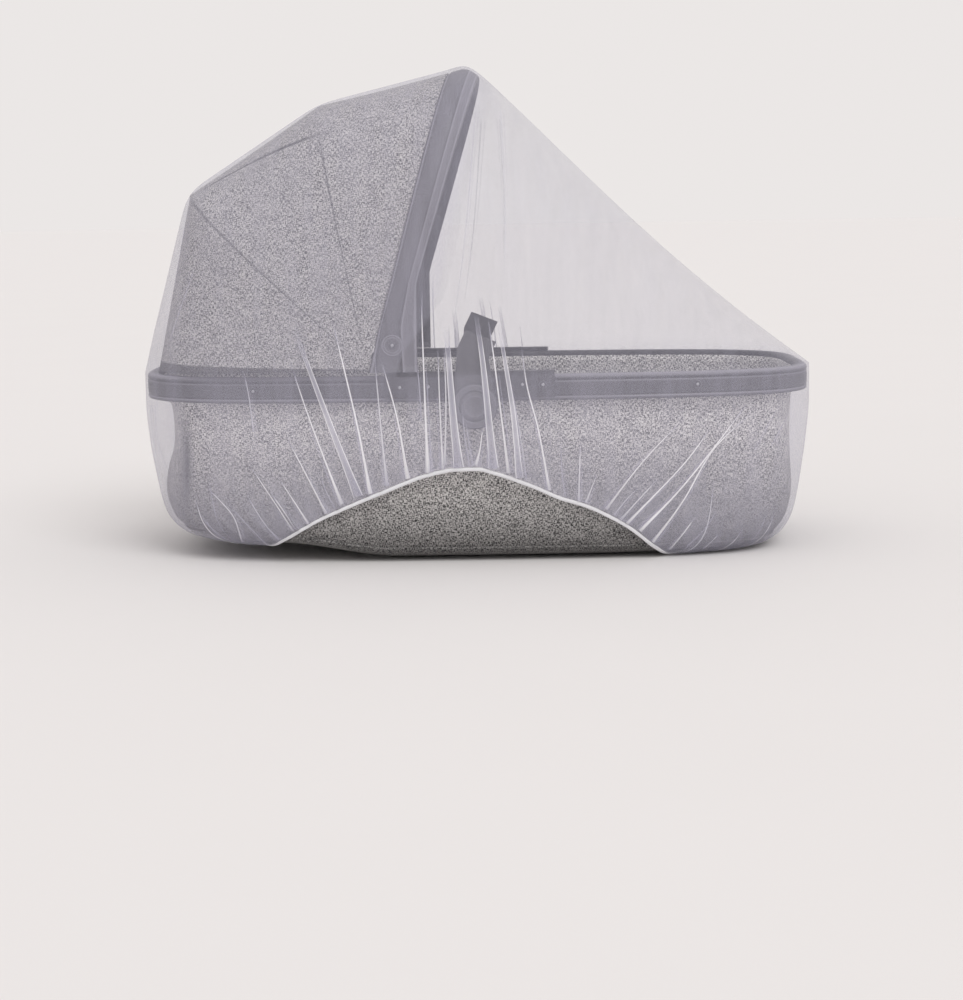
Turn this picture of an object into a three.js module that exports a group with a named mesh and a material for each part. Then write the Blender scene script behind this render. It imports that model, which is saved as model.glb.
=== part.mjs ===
// A sheer mosquito net stretched over a carrycot with its hood up.
// Millimetres. +X runs to the foot end, +Y to the far side, +Z up. The sizes are measured from
// a mark in the picture; FRAME_SHIFT then puts the floor at z = 0 and centres the footprint.
import * as THREE from 'three';

const FLOOR = -6; // height of the floor in the measured sizes
const FRAME_SHIFT = { x: -1.5, z: -FLOOR };

// Driving sizes of the carrycot
const PIVOT_X = -86; // where the hood's bows turn, along the cot
const FOOT = 1;
const HEAD = -1;
const SQUARENESS = { [FOOT]: 4.2, [HEAD]: 3.6 }; // of the cot's ends, seen from above
const REACH = { [FOOT]: 392.5, [HEAD]: 389.5 }; // of the rail, along the cot
const RAIL = { halfWidth: 197, bottom: 180, top: 209.5, depth: 14, chamfer: 3 };
const TUB_WALL = 2.5;
// The underside rises at the head end: how much, between which places, and below which height
const HEAD_RISE = [
  { from: 90, to: 225, rise: 16 },
  { from: 225, to: 320, rise: 2 },
];
const RISE_BELOW = 120;
const RING_STEPS = 60; // facets round the rail and the tub

// Driving sizes of the net
const NET_THICK = 1.2;
const NET_SIDE_OUT = 15.2; // the net stands this far outside the rail at the hinges
const NET_END_OUT = 3.2;
const FOLD_FOOT = 4.5; // half the width of a fold at the hem
const FOLD_AT_RIM = 0.7; // width of a fold at the rim, as a share of that at the hem
const FOLD_GROWTH = 0.8; // how a fold's crest rises towards the hem: 1 is straight
const FOLD_END_FALL = 190; // from here a fold flattens out to the underside
const END_COLUMNS = 7; // plain columns between the last fold and the middle of an end
const END_CROWDING = 1.4; // crowds those columns towards the folds
const FRONT_ROWS = 4; // rows in the slope from the hood to the foot end
const FRONT_SAG = 16;
const FRONT_SAG_SKEW = 1.3; // puts the deepest part of the sag beyond the middle of the slope
const ELASTIC = { width: 5.5, thick: 1.8, gap: 1 };

// Outer outline of the net below the rim. fall is measured down the cloth from the rim's top;
// endOut and sideOut are how far it stands outside the rail's outline.
const SKIRT_PROFILE = [
  { fall: 0, z: RAIL.top, endOut: NET_END_OUT, sideOut: NET_SIDE_OUT },
  { fall: 37.5, z: 172, endOut: 3.2, sideOut: 14.4 },
  { fall: 89.5, z: 120, endOut: -1.5, sideOut: 6.5 },
  { fall: 121.5, z: 88, endOut: -5.5, sideOut: 0 },
  { fall: 149.5, z: 60, endOut: -9.5, sideOut: -5.5 },
  { fall: 177.5, z: 33, endOut: -15.5, sideOut: -10 },
  { fall: 195, z: 17, endOut: -23.5, sideOut: -14.5 },
  { fall: 209, z: 6, endOut: -34, sideOut: -20 },
  { fall: 223, z: -1.5, endOut: -49, sideOut: -28.5 },
  { fall: 243, z: FLOOR, endOut: -72, sideOut: -44 },
  { fall: 383, z: FLOOR, endOut: -212, sideOut: -184 },
];
// Rows where the cloth turns under an end
const ROW_FALLS = [0, 37.5, 89.5, 149.5, 177.5, 195, 209, 223, 243];
const UNDER_FALL = 243; // from here on the cloth lies flat
const SHORTEST_ROW = 15; // cloth kept for the last two rows at the hem

// How far down the cloth the hem runs, by the angle round the outline: 0 at the hinges, 90 at an end
const FOOT_HEM = [
  { angle: 0, fall: 121.5 },
  { angle: 4, fall: 109.5 },
  { angle: 8.1, fall: 103.5 },
  { angle: 10.7, fall: 103.5 },
  { angle: 12.5, fall: 107.5 },
  { angle: 18.3, fall: 126.5 },
  { angle: 21.2, fall: 138.5 },
  { angle: 24.2, fall: 147.5 },
  { angle: 29.2, fall: 171.5 },
  { angle: 33.3, fall: 199 },
  { angle: 36.1, fall: 216.5 },
  { angle: 39, fall: 234 },
  { angle: 47, fall: 261 },
  { angle: 54, fall: 275 },
  { angle: 62, fall: 285 },
  { angle: 71, fall: 290 },
  { angle: 90, fall: 292 },
];
const HEAD_HEM = [
  { angle: 0, fall: 121.5 },
  { angle: 7.5, fall: 138.5 },
  { angle: 16.3, fall: 164.5 },
  { angle: 24, fall: 195 },
  { angle: 28.2, fall: 211.5 },
  { angle: 33.1, fall: 230.5 },
  { angle: 45, fall: 267 },
  { angle: 60, fall: 287 },
  { angle: 90, fall: 293 },
];

// Gathered folds of one side: where each meets the hem and the rim, its crest at the hem,
// and the height at which it has faded out
const FOOT_FOLDS = [
  { hemX: -53, rimX: -55, crest: 4.5, fadeZ: 240 },
  { hemX: -18, rimX: -27, crest: 6, fadeZ: 240 },
  { hemX: 21, rimX: 11, crest: 6.5, fadeZ: 250 },
  { hemX: 45, rimX: 33, crest: 4.5, fadeZ: 240 },
  { hemX: 72, rimX: 58, crest: 4, fadeZ: 230 },
  { hemX: 121, rimX: 140, crest: 4, fadeZ: 130 },
  { hemX: 145, rimX: 236, crest: 5, fadeZ: 175 },
  { hemX: 171, rimX: 291, crest: 5.5, fadeZ: 170 },
  { hemX: 202, rimX: 340, crest: 5, fadeZ: 180 },
];
const HEAD_FOLDS = [
  { hemX: -104, rimX: -109, crest: 4.5, fadeZ: 240 },
  { hemX: -121, rimX: -143, crest: 5, fadeZ: 250 },
  { hemX: -138, rimX: -175, crest: 6.5, fadeZ: 250 },
  { hemX: -155, rimX: -200, crest: 5, fadeZ: 240 },
  { hemX: -172, rimX: -234, crest: 5, fadeZ: 200 },
  { hemX: -191, rimX: -270, crest: 4.5, fadeZ: 120 },
  { hemX: -209, rimX: -305, crest: 4.5, fadeZ: 140 },
  { hemX: -246, rimX: -338, crest: 4.5, fadeZ: 110 },
  { hemX: -280, rimX: -362, crest: 3.5, fadeZ: 90 },
];

// Ridges of the net over the hood, from the head end forwards: the top of each in the middle
const NET_RIDGES = [
  { footX: -119, topX: -384, topZ: 240, power: 3.5 },
  { footX: -119, topX: -335.5, topZ: 419.5, power: 3.2 },
  { footX: -119, topX: -179.5, topZ: 519.5, power: 3.2 },
  { footX: -122, topX: -28.5, topZ: 556, power: 3.2 },
  { footX: -91, topX: -7, topZ: 562.5, power: 3.2 },
  { footX: -57, topX: 10, topZ: 552.5, power: 3.2 },
];
const NET_HALF_WIDTH = RAIL.halfWidth + NET_SIDE_OUT;
const FOOT_BLEND = 0.25; // share of a ridge's rise over which it comes in to the hinge
const SPREAD_RIDGES = 3; // ridges over which the columns of the gathered side spread out evenly

// Hood: its cloth runs forwards from its rear edge over two ribs to the front bow
const HOOD_THICK = 2;
const HOOD_FOOT = { footX: -117.9, footZ: 218, half: 203.6 };
const HOOD_RIDGES = [
  { topX: -375, topZ: 212.5, power: 3.5 },
  { topX: -330, topZ: 414.5, power: 3.2 },
  { topX: -178, topZ: 514, power: 3.2 },
  { topX: -28, topZ: 549.5, power: 3.2 },
];
const HOOD_STEPS = 44;
const RIB = { width: 10, thick: 2.5, startAngle: 9 }; // startAngle in degrees
const RIB_REAR = { ridge: 1, under: 4.7 }; // which ridge, and how far under the cloth's outer face
const RIB_MID = { ridge: 2, under: 3.6 };

// Front bow: a moulded band, wider at its feet, where its front edge runs straight down
const BOW = { footZ: 214.4, half: 205.6, thick: 4.9, power: 3.2, bulge: 0.9 };
const BOW_LINES = [
  { footX: -117.5, leastX: -118, topX: -27, topZ: 550.5, out: 0 },
  { footX: -104.7, leastX: -90, topX: -8, topZ: 557.2, out: BOW.bulge },
  { footX: -92, leastX: -62, topX: 9, topZ: 548.5, out: 0 },
];
const BOW_STEPS = 44;
const DISC = { x: -90, z: 245, radius: 12, inner: 206.8, outer: 208.2 };

// Side plate, adaptor arm and its boss, on both sides of the cot
const PLATE = {
  left: -100,
  right: 91,
  bottom: 184,
  seat: 209.9, // its underside over the rail
  top: 214,
  outer: 200.3,
  lap: 197.3,
  inner: 186,
};
const ARM = { inner: 200.6, outer: 203.1, bossX: 1, bossZ: 175, bossRadius: 24 };
const ARM_ROUND_STEPS = 10;
const BOSS = { radius: 26, inner: 203.4, outer: 205.2 };
const DISC_SIDES = 24;
const ARM_OUTLINE = [
  { x: -18, z: 240 },
  { x: -8, z: 260.5 },
  { x: 26, z: 247 },
  { x: 17.5, z: 229 },
];

// Tub: how far its outer face stands inside the rail's outline at each height, along its sides
// and at its two ends; its middle stands on the floor
const TUB_PROFILE = [
  { z: 203, inset: 14.3, foot: 14.3, head: 14.3 },
  { z: 180, inset: 14.3, foot: 14.3, head: 14.3 },
  { z: 170, inset: 14.3, foot: 18.3, head: 26.3 },
  { z: 125, inset: 14.3, foot: 18.3, head: 26.3 },
  { z: 92, inset: 14.3, foot: 16.3, head: 18 },
  { z: 60, inset: 15.5, foot: 15.5, head: 15.5 },
  { z: 33, inset: 17.5, foot: 22, head: 22 },
  { z: 17, inset: 20.5, foot: 31.5, head: 31.5 },
  { z: 6, inset: 27, foot: 46, head: 46 },
  { z: 0.8, inset: 35, foot: 62, head: 62 },
  { z: -2.6, inset: 48, foot: 84, head: 84 },
  { z: -3.7, inset: 70, foot: 150, head: 150 },
  { z: FLOOR, inset: 84, foot: 172, head: 172 },
];

const lerp = THREE.MathUtils.lerp;
const radians = THREE.MathUtils.degToRad;

// Linear reading of a table's column at a value of its key column
function readTable(rows, key, value, column) {
  let i = 1;
  while (i < rows.length - 1 && rows[i][key] < value) i += 1;
  const low = rows[i - 1];
  const high = rows[i];
  const t = THREE.MathUtils.clamp((value - low[key]) / (high[key] - low[key]), 0, 1);
  return lerp(low[column], high[column], t);
}

// Unit superellipse at a polar angle: across goes from 1 to -1 and along from 0 to 1 and back
function unitArc(angle, power) {
  const c = Math.cos(angle);
  const s = Math.sin(angle);
  const r = (Math.abs(c) ** power + Math.abs(s) ** power) ** (-1 / power);
  return { across: r * c, along: r * s };
}

// A point of an arch that stands on two feet, near and far, and reaches its top in the middle
function archPoint(arch, angle) {
  const { across, along } = unitArc(angle, arch.power);
  return new THREE.Vector3(
    lerp(arch.footX, arch.topX, along),
    -arch.half * across,
    lerp(arch.footZ, arch.topZ, along),
  );
}

// How much higher a point stands than its table says
function headRise(x, z) {
  const low = THREE.MathUtils.clamp((RISE_BELOW - z) / RISE_BELOW, 0, 1);
  const rises = HEAD_RISE.map(({ from, to, rise }) => (
    rise * THREE.MathUtils.smoothstep(-x, from, to)));
  return low * (rises[0] + rises[1]);
}

// A point round the cot's outline: end is FOOT or HEAD, angle 0 the near hinge, PI the far one
function outlinePoint(end, angle, { endOut, sideOut, z }) {
  const { across, along } = unitArc(angle, SQUARENESS[end]);
  const reach = REACH[end] + endOut - end * PIVOT_X;
  const x = PIVOT_X + end * reach * along;
  return new THREE.Vector3(x, -(RAIL.halfWidth + sideOut) * across, z + headRise(x, z));
}

// The angle of the outline's near side at a place along the cot
function angleAtX(end, x) {
  const along = Math.abs(x - PIVOT_X) / (REACH[end] - end * PIVOT_X);
  const power = SQUARENESS[end];
  const across = (1 - along ** power) ** (1 / power);
  return Math.atan2(along, across);
}

// Collects the vertices and triangles of one surface
class Surface {
  constructor() {
    this.points = [];
    this.triangles = [];
  }

  add(point) {
    this.points.push(point);
    return this.points.length - 1;
  }

  triangle(a, b, c) {
    if (a !== b && b !== c && c !== a) this.triangles.push([a, b, c]);
  }

  quad(a, b, c, d) {
    this.triangle(a, b, c);
    this.triangle(a, c, d);
  }

  geometry() {
    const made = new THREE.BufferGeometry().setFromPoints(this.points);
    made.setIndex(this.triangles.flat());
    made.computeVertexNormals();
    return made;
  }
}

// Gives an open surface a thickness towards its inside and closes its edges
function thicken(sheet, thickness) {
  const normals = sheet.geometry().attributes.normal;
  const solid = new Surface();
  sheet.points.forEach((point) => solid.add(point));
  sheet.points.forEach((point, i) => {
    const normal = new THREE.Vector3().fromBufferAttribute(normals, i);
    solid.add(point.clone().addScaledVector(normal, -thickness));
  });
  const below = sheet.points.length;
  const edges = new Map();
  for (const [a, b, c] of sheet.triangles) {
    solid.triangle(a, b, c);
    solid.triangle(c + below, b + below, a + below);
    for (const [from, to] of [[a, b], [b, c], [c, a]]) {
      if (!edges.delete(`${to} ${from}`)) edges.set(`${from} ${to}`, [from, to]);
    }
  }
  for (const [from, to] of edges.values()) {
    solid.quad(to, from, from + below, to + below);
  }
  return solid.geometry();
}

// Joins like sections into a ring, or into a bar with two flat ends
function loft(sections, closed) {
  const solid = new Surface();
  const rings = sections.map((points) => points.map((point) => solid.add(point)));
  const count = sections[0].length;
  const spans = closed ? rings.length : rings.length - 1;
  for (let s = 0; s < spans; s += 1) {
    const here = rings[s];
    const next = rings[(s + 1) % rings.length];
    for (let i = 0; i < count; i += 1) {
      const j = (i + 1) % count;
      solid.quad(here[i], here[j], next[j], next[i]);
    }
  }
  if (!closed) {
    const last = rings[rings.length - 1];
    for (let i = 1; i < count - 1; i += 1) {
      solid.triangle(rings[0][0], rings[0][i + 1], rings[0][i]);
      solid.triangle(last[0], last[i], last[i + 1]);
    }
  }
  return solid.geometry();
}

// Columns of the net round one end of the cot, from the near hinge to the far one
function netColumns(end, folds, hem) {
  const near = [{ rim: 0, hem: 0, crest: 0, fadeZ: RAIL.top }];
  for (const fold of folds) {
    for (const step of [-1, 0, 1]) {
      near.push({
        rim: angleAtX(end, fold.rimX + end * step * FOLD_FOOT * FOLD_AT_RIM),
        hem: angleAtX(end, fold.hemX + end * step * FOLD_FOOT),
        crest: step === 0 ? fold.crest : 0,
        fadeZ: fold.fadeZ,
      });
    }
  }
  const last = near[near.length - 1];
  for (let i = 1; i <= END_COLUMNS; i += 1) {
    const t = (i / (END_COLUMNS + 1)) ** END_CROWDING;
    near.push({
      rim: lerp(last.rim, Math.PI / 2, t),
      hem: lerp(last.hem, Math.PI / 2, t),
      crest: 0,
      fadeZ: RAIL.top,
    });
  }
  const middle = { rim: Math.PI / 2, hem: Math.PI / 2, crest: 0, fadeZ: RAIL.top };
  const far = near.map((c) => ({ ...c, rim: Math.PI - c.rim, hem: Math.PI - c.hem })).reverse();
  return [...near, middle, ...far].map((column) => {
    const fromSide = 90 - Math.abs(90 - THREE.MathUtils.radToDeg(column.hem));
    return { ...column, end, hemFall: readTable(hem, 'angle', fromSide, 'fall') };
  });
}

// How far down the cloth a column's rows lie; the last is its hem
function rowFalls(column) {
  const first = ROW_FALLS[1];
  const reach = Math.min(1, (column.hemFall - first - SHORTEST_ROW) / (UNDER_FALL - first));
  const falls = ROW_FALLS.map((fall) => (fall <= first ? fall : lerp(first, fall, reach)));
  const turned = falls[falls.length - 1];
  return [...falls, (turned + column.hemFall) / 2, column.hemFall];
}

function skirtProfile(fall) {
  return {
    z: readTable(SKIRT_PROFILE, 'fall', fall, 'z'),
    endOut: readTable(SKIRT_PROFILE, 'fall', fall, 'endOut'),
    sideOut: readTable(SKIRT_PROFILE, 'fall', fall, 'sideOut'),
  };
}

// A point of the net below the rim, with its fold standing out of the smooth surface
function skirtPoint(column, fall, folded = true) {
  const down = THREE.MathUtils.clamp(fall / column.hemFall, 0, 1);
  const angle = lerp(column.rim, column.hem, down);
  const profile = skirtProfile(fall);
  const fadeFall = RAIL.top - column.fadeZ;
  const grown = Math.max(0, (fall - fadeFall) / (column.hemFall - fadeFall));
  const flat = THREE.MathUtils.smoothstep(fall, FOLD_END_FALL, UNDER_FALL);
  const height = folded ? column.crest * grown ** FOLD_GROWTH * (1 - flat) : 0;
  return outlinePoint(column.end, angle, {
    endOut: profile.endOut + height,
    sideOut: profile.sideOut + height,
    z: profile.z,
  });
}

// The net: a hood of arches above the rim and a skirt below it, one cloth with its folds
function netCover(footColumns, headColumns) {
  const sheet = new Surface();
  const half = footColumns.length - 1;
  const around = [...footColumns.slice(0, half), ...headColumns.slice(1).reverse()];
  const falls = around.map(rowFalls);
  const rows = falls[0].map((_, row) => (
    around.map((column, k) => sheet.add(skirtPoint(column, falls[k][row])))));
  const count = around.length;
  for (let row = 0; row < rows.length - 1; row += 1) {
    for (let k = 0; k < count; k += 1) {
      const next = (k + 1) % count;
      sheet.quad(rows[row][k], rows[row + 1][k], rows[row + 1][next], rows[row][next]);
    }
  }
  const rim = rows[0];
  const headEdge = headColumns.map((_, i) => rim[(count - i) % count]);
  const footEdge = footColumns.map((_, i) => rim[i]);
  const arches = [headEdge, ...netArches(sheet, headColumns, footColumns, rim), footEdge];
  for (let a = 0; a < arches.length - 1; a += 1) {
    for (let i = 0; i < half; i += 1) {
      sheet.quad(arches[a][i], arches[a + 1][i], arches[a + 1][i + 1], arches[a][i + 1]);
    }
  }
  return thicken(sheet, NET_THICK);
}

// Vertices of the net's arches between the rim's two halves; all share the two hinge points
function netArches(sheet, headColumns, footColumns, rim) {
  const half = footColumns.length - 1;
  const total = NET_RIDGES.length + FRONT_ROWS;
  const angleOf = (i, a) => {
    const gathered = lerp(headColumns[i].rim, footColumns[i].rim, a / total);
    return lerp(gathered, (Math.PI * i) / half, Math.min(1, a / SPREAD_RIDGES));
  };
  const foot = { footZ: RAIL.top, half: NET_HALF_WIDTH };
  const place = (a, pointAt) => footColumns.map((_, i) => {
    if (i === 0) return rim[0];
    if (i === half) return rim[half];
    return sheet.add(pointAt(i, angleOf(i, a)));
  });
  const ridges = NET_RIDGES.map((ridge, r) => place(r + 1, (i, angle) => {
    const point = archPoint({ ...foot, ...ridge }, angle);
    const rise = (point.z - RAIL.top) / (ridge.topZ - RAIL.top);
    point.x = lerp(PIVOT_X, point.x, THREE.MathUtils.smoothstep(rise, 0, FOOT_BLEND));
    return point;
  }));
  const front = ridges[ridges.length - 1];
  const slope = [];
  for (let row = 1; row < FRONT_ROWS; row += 1) {
    const t = row / FRONT_ROWS;
    slope.push(place(NET_RIDGES.length + row, (i) => {
      const low = sheet.points[rim[i]];
      const point = sheet.points[front[i]].clone().lerp(low, t);
      const middle = 1 - Math.abs(point.y / NET_HALF_WIDTH) ** 2;
      point.z -= FRONT_SAG * Math.sin(Math.PI * t ** FRONT_SAG_SKEW) * middle;
      return point;
    }));
  }
  return [...ridges, ...slope];
}

// White elastic sewn on at the net's lower edge
function hemElastic(columns) {
  return loft(columns.map((column) => {
    const section = [ELASTIC.gap, ELASTIC.gap + ELASTIC.width].map((reach) => (
      skirtPoint(column, column.hemFall + reach, false)));
    const [upper, lower] = section;
    const down = lower.clone().sub(upper).normalize();
    const inward = elasticInward(column, down);
    return [
      upper,
      lower,
      lower.clone().addScaledVector(inward, ELASTIC.thick),
      upper.clone().addScaledVector(inward, ELASTIC.thick),
    ];
  }), true);
}

// The direction from the elastic's outer face towards the tub
function elasticInward(column, down) {
  const step = 0.02;
  const here = { ...column, rim: column.hem };
  const ahead = { ...here, rim: column.hem + step, hem: column.hem + step };
  const fall = column.hemFall;
  const side = skirtPoint(ahead, fall, false).sub(skirtPoint(here, fall, false));
  return side.multiplyScalar(column.end).cross(down).normalize();
}

function ringLoft(section) {
  const sections = [];
  for (let i = 0; i < RING_STEPS; i += 1) {
    const turn = (2 * Math.PI * i) / RING_STEPS;
    const end = turn <= Math.PI ? FOOT : HEAD;
    const angle = end === FOOT ? turn : 2 * Math.PI - turn;
    sections.push(section.map(({ inset, z, foot = inset, head = inset }) => {
      const endOut = -(end === FOOT ? foot : head);
      return outlinePoint(end, angle, { endOut, sideOut: -inset, z });
    }));
  }
  return sections;
}

function rimRail() {
  const { bottom, top, depth, chamfer } = RAIL;
  return loft(ringLoft([
    { inset: 0, z: top - chamfer },
    { inset: 0, z: bottom + chamfer },
    { inset: chamfer, z: bottom },
    { inset: depth, z: bottom },
    { inset: depth, z: top - chamfer },
    { inset: depth - chamfer, z: top },
    { inset: chamfer, z: top },
  ]), true);
}

// The tub: one shell of cloth-covered board, open at the top
function cotTub() {
  const sheet = new Surface();
  const sections = ringLoft(TUB_PROFILE);
  const rings = TUB_PROFILE.map((_, row) => sections.map((section) => sheet.add(section[row])));
  for (let k = 0; k < RING_STEPS; k += 1) {
    const next = (k + 1) % RING_STEPS;
    for (let row = 0; row < rings.length - 1; row += 1) {
      sheet.quad(rings[row][k], rings[row + 1][k], rings[row + 1][next], rings[row][next]);
    }
  }
  const floor = rings[rings.length - 1];
  for (const start of [0, RING_STEPS / 2]) {
    const last = start + RING_STEPS / 2; // the hinge point across from the start
    for (let step = 0; step < RING_STEPS / 4; step += 1) {
      const k = start + step;
      const across = last - step;
      sheet.quad(floor[k], floor[across % RING_STEPS], floor[across - 1], floor[k + 1]);
    }
  }
  return thicken(sheet, TUB_WALL);
}

// The hood's cloth: a fan of arches whose feet meet beside the hinges
function hoodCloth() {
  const sheet = new Surface();
  const near = sheet.add(archPoint({ ...HOOD_FOOT, ...HOOD_RIDGES[0] }, 0));
  const far = sheet.add(archPoint({ ...HOOD_FOOT, ...HOOD_RIDGES[0] }, Math.PI));
  const arches = HOOD_RIDGES.map((ridge) => {
    const inner = [];
    for (let i = 1; i < HOOD_STEPS; i += 1) {
      inner.push(sheet.add(archPoint({ ...HOOD_FOOT, ...ridge }, (Math.PI * i) / HOOD_STEPS)));
    }
    return [near, ...inner, far];
  });
  for (let a = 0; a < arches.length - 1; a += 1) {
    for (let i = 0; i < HOOD_STEPS; i += 1) {
      sheet.quad(arches[a][i], arches[a + 1][i], arches[a + 1][i + 1], arches[a][i + 1]);
    }
  }
  return thicken(sheet, HOOD_THICK);
}

// A flat rib in the hood's cloth, in the plane of one of its ridges
function hoodRib({ ridge: number, under }) {
  const [behind, ridge, ahead] = HOOD_RIDGES.slice(number - 1, number + 2);
  const hinge = new THREE.Vector3(HOOD_FOOT.footX, 0, HOOD_FOOT.footZ);
  const rise = new THREE.Vector3(ridge.topX, 0, ridge.topZ).sub(hinge).normalize();
  const across = new THREE.Vector3(ahead.topX - behind.topX, 0, ahead.topZ - behind.topZ);
  across.setLength(RIB.width / 2);
  const arch = (less) => ({
    footX: HOOD_FOOT.footX,
    footZ: HOOD_FOOT.footZ,
    topX: ridge.topX - rise.x * less,
    topZ: ridge.topZ - rise.z * less,
    half: HOOD_FOOT.half - less,
    power: ridge.power,
  });
  const sections = [];
  for (let i = 0; i <= HOOD_STEPS; i += 1) {
    const angle = radians(lerp(RIB.startAngle, 180 - RIB.startAngle, i / HOOD_STEPS));
    const outer = archPoint(arch(under), angle);
    const inner = archPoint(arch(under + RIB.thick), angle);
    sections.push([
      outer.clone().sub(across),
      outer.clone().add(across),
      inner.clone().add(across),
      inner.clone().sub(across),
    ]);
  }
  return loft(sections, false);
}

function frontBow() {
  const sections = [];
  for (let i = 0; i <= BOW_STEPS; i += 1) {
    const angle = (Math.PI * i) / BOW_STEPS;
    const line = ({ footX, leastX, topX, topZ, out }, less) => {
      const point = archPoint({
        footX,
        footZ: BOW.footZ,
        topX,
        topZ: topZ - less,
        half: BOW.half + out - less,
        power: BOW.power,
      }, angle);
      point.x = Math.max(point.x, leastX);
      return point;
    };
    const outer = BOW_LINES.map((row) => line(row, 0));
    const inner = [BOW_LINES[2], BOW_LINES[0]].map((row) => line({ ...row, out: 0 }, BOW.thick));
    sections.push([...outer, ...inner]);
  }
  return loft(sections, false);
}

// A round disc that lies across the cot, on the near side
function sidewaysDisc(x, z, radius, inner, outer) {
  const disc = new THREE.CylinderGeometry(radius, radius, outer - inner, DISC_SIDES);
  disc.translate(x, -(inner + outer) / 2, z);
  return disc;
}

// Round cap over the hood's hinge
function hingeDisc() {
  return sidewaysDisc(DISC.x, DISC.z, DISC.radius, DISC.inner, DISC.outer);
}

// Round boss on the adaptor arm
function adaptorBoss() {
  return sidewaysDisc(ARM.bossX, ARM.bossZ, BOSS.radius, BOSS.inner, BOSS.outer);
}

// A flat outline in x and z, given a thickness in y on the near side
function sidewaysPlate(shape, inner, outer, curveSegments) {
  const plate = new THREE.ExtrudeGeometry(shape, {
    depth: outer - inner,
    bevelEnabled: false,
    curveSegments,
  });
  plate.rotateX(Math.PI / 2);
  plate.translate(0, -inner, 0);
  return plate;
}

// Side plate: laps over the rail's face and stands on its top, on the near side
function sidePlate() {
  const section = new THREE.Shape([
    new THREE.Vector2(-PLATE.outer, PLATE.bottom),
    new THREE.Vector2(-PLATE.lap, PLATE.bottom),
    new THREE.Vector2(-PLATE.lap, PLATE.seat),
    new THREE.Vector2(-PLATE.inner, PLATE.seat),
    new THREE.Vector2(-PLATE.inner, PLATE.top),
    new THREE.Vector2(-PLATE.outer, PLATE.top),
  ]);
  const plate = new THREE.ExtrudeGeometry(section, {
    depth: PLATE.right - PLATE.left,
    bevelEnabled: false,
  });
  plate.rotateX(Math.PI / 2);
  plate.rotateZ(Math.PI / 2);
  plate.translate(PLATE.left, 0, 0);
  return plate;
}

// Pointed adaptor arm, rounded where its boss sits, on the near side
function adaptorArm() {
  const shape = new THREE.Shape();
  const { bossX, bossZ, bossRadius } = ARM;
  shape.moveTo(bossX + bossRadius, bossZ);
  shape.absarc(bossX, bossZ, bossRadius, 0, -Math.PI, true);
  for (const { x, z } of ARM_OUTLINE) shape.lineTo(x, z);
  shape.closePath();
  return sidewaysPlate(shape, ARM.inner, ARM.outer, ARM_ROUND_STEPS);
}

const FINISHES = {
  net: { color: '#dcd9e2', roughness: 0.9, metalness: 0 },
  elastic: { color: '#f2f1f3', roughness: 0.85, metalness: 0 },
  cloth: { color: '#8f8c92', roughness: 0.95, metalness: 0 },
  plastic: { color: '#3a393f', roughness: 0.5, metalness: 0 },
};

const cot = new THREE.Group();

function place(name, geometry, finish) {
  geometry.translate(FRAME_SHIFT.x, 0, FRAME_SHIFT.z);
  const mesh = new THREE.Mesh(geometry, new THREE.MeshStandardMaterial(FINISHES[finish]));
  mesh.name = name;
  cot.add(mesh);
  return mesh;
}

// The same piece on the near side and, mirrored, on the far side
function placePair(name, make, finish) {
  place(`${name}_near`, make(), finish);
  place(`${name}_far`, make(), finish).scale.set(1, -1, 1);
}

const footColumns = netColumns(FOOT, FOOT_FOLDS, FOOT_HEM);
const headColumns = netColumns(HEAD, HEAD_FOLDS, HEAD_HEM);
const hemColumns = [
  ...footColumns.slice(0, footColumns.length - 1),
  ...headColumns.slice(1).reverse(),
];

place('net_cover', netCover(footColumns, headColumns), 'net');
place('hem_elastic', hemElastic(hemColumns), 'elastic');
place('hood_cloth', hoodCloth(), 'cloth');
place('hood_rib_mid', hoodRib(RIB_MID), 'plastic');
place('hood_rib_rear', hoodRib(RIB_REAR), 'plastic');
place('front_bow', frontBow(), 'plastic');
place('rim_rail', rimRail(), 'plastic');
place('cot_tub', cotTub(), 'cloth');
placePair('hinge_disc', hingeDisc, 'plastic');
placePair('side_plate', sidePlate, 'plastic');
placePair('adaptor_arm', adaptorArm, 'plastic');
placePair('adaptor_boss', adaptorBoss, 'plastic');

export default cot;
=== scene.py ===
import math
import random
from collections import namedtuple

import bmesh
import bpy
import numpy as np
from mathutils import Matrix, Vector
from mathutils.bvhtree import BVHTree


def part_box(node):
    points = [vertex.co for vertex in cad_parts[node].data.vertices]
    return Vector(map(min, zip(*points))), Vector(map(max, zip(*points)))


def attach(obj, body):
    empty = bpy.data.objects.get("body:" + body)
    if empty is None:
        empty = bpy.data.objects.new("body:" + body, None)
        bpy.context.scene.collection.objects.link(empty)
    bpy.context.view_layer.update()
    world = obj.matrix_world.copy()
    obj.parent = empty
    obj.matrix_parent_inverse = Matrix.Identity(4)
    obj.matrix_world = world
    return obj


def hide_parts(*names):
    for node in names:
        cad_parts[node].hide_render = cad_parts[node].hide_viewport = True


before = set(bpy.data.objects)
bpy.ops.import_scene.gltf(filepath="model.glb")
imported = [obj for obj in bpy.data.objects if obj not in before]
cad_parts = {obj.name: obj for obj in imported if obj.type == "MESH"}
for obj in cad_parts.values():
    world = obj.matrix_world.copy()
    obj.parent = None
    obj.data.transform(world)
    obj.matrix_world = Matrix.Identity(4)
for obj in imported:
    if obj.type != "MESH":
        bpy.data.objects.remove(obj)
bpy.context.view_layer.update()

# A sheer mosquito net over a carrycot with its hood up.
# Lengths are worked out in millimetres, in the frame's own directions: +X to the foot end,
# +Y to the far side, +Z up, from a mark in the picture. make_piece moves them by FRAME_SHIFT
# to the frame's origin and turns them into metres.
MM = 0.001
FRAME_SHIFT = np.array((-1.5, 0, 6))
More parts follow.
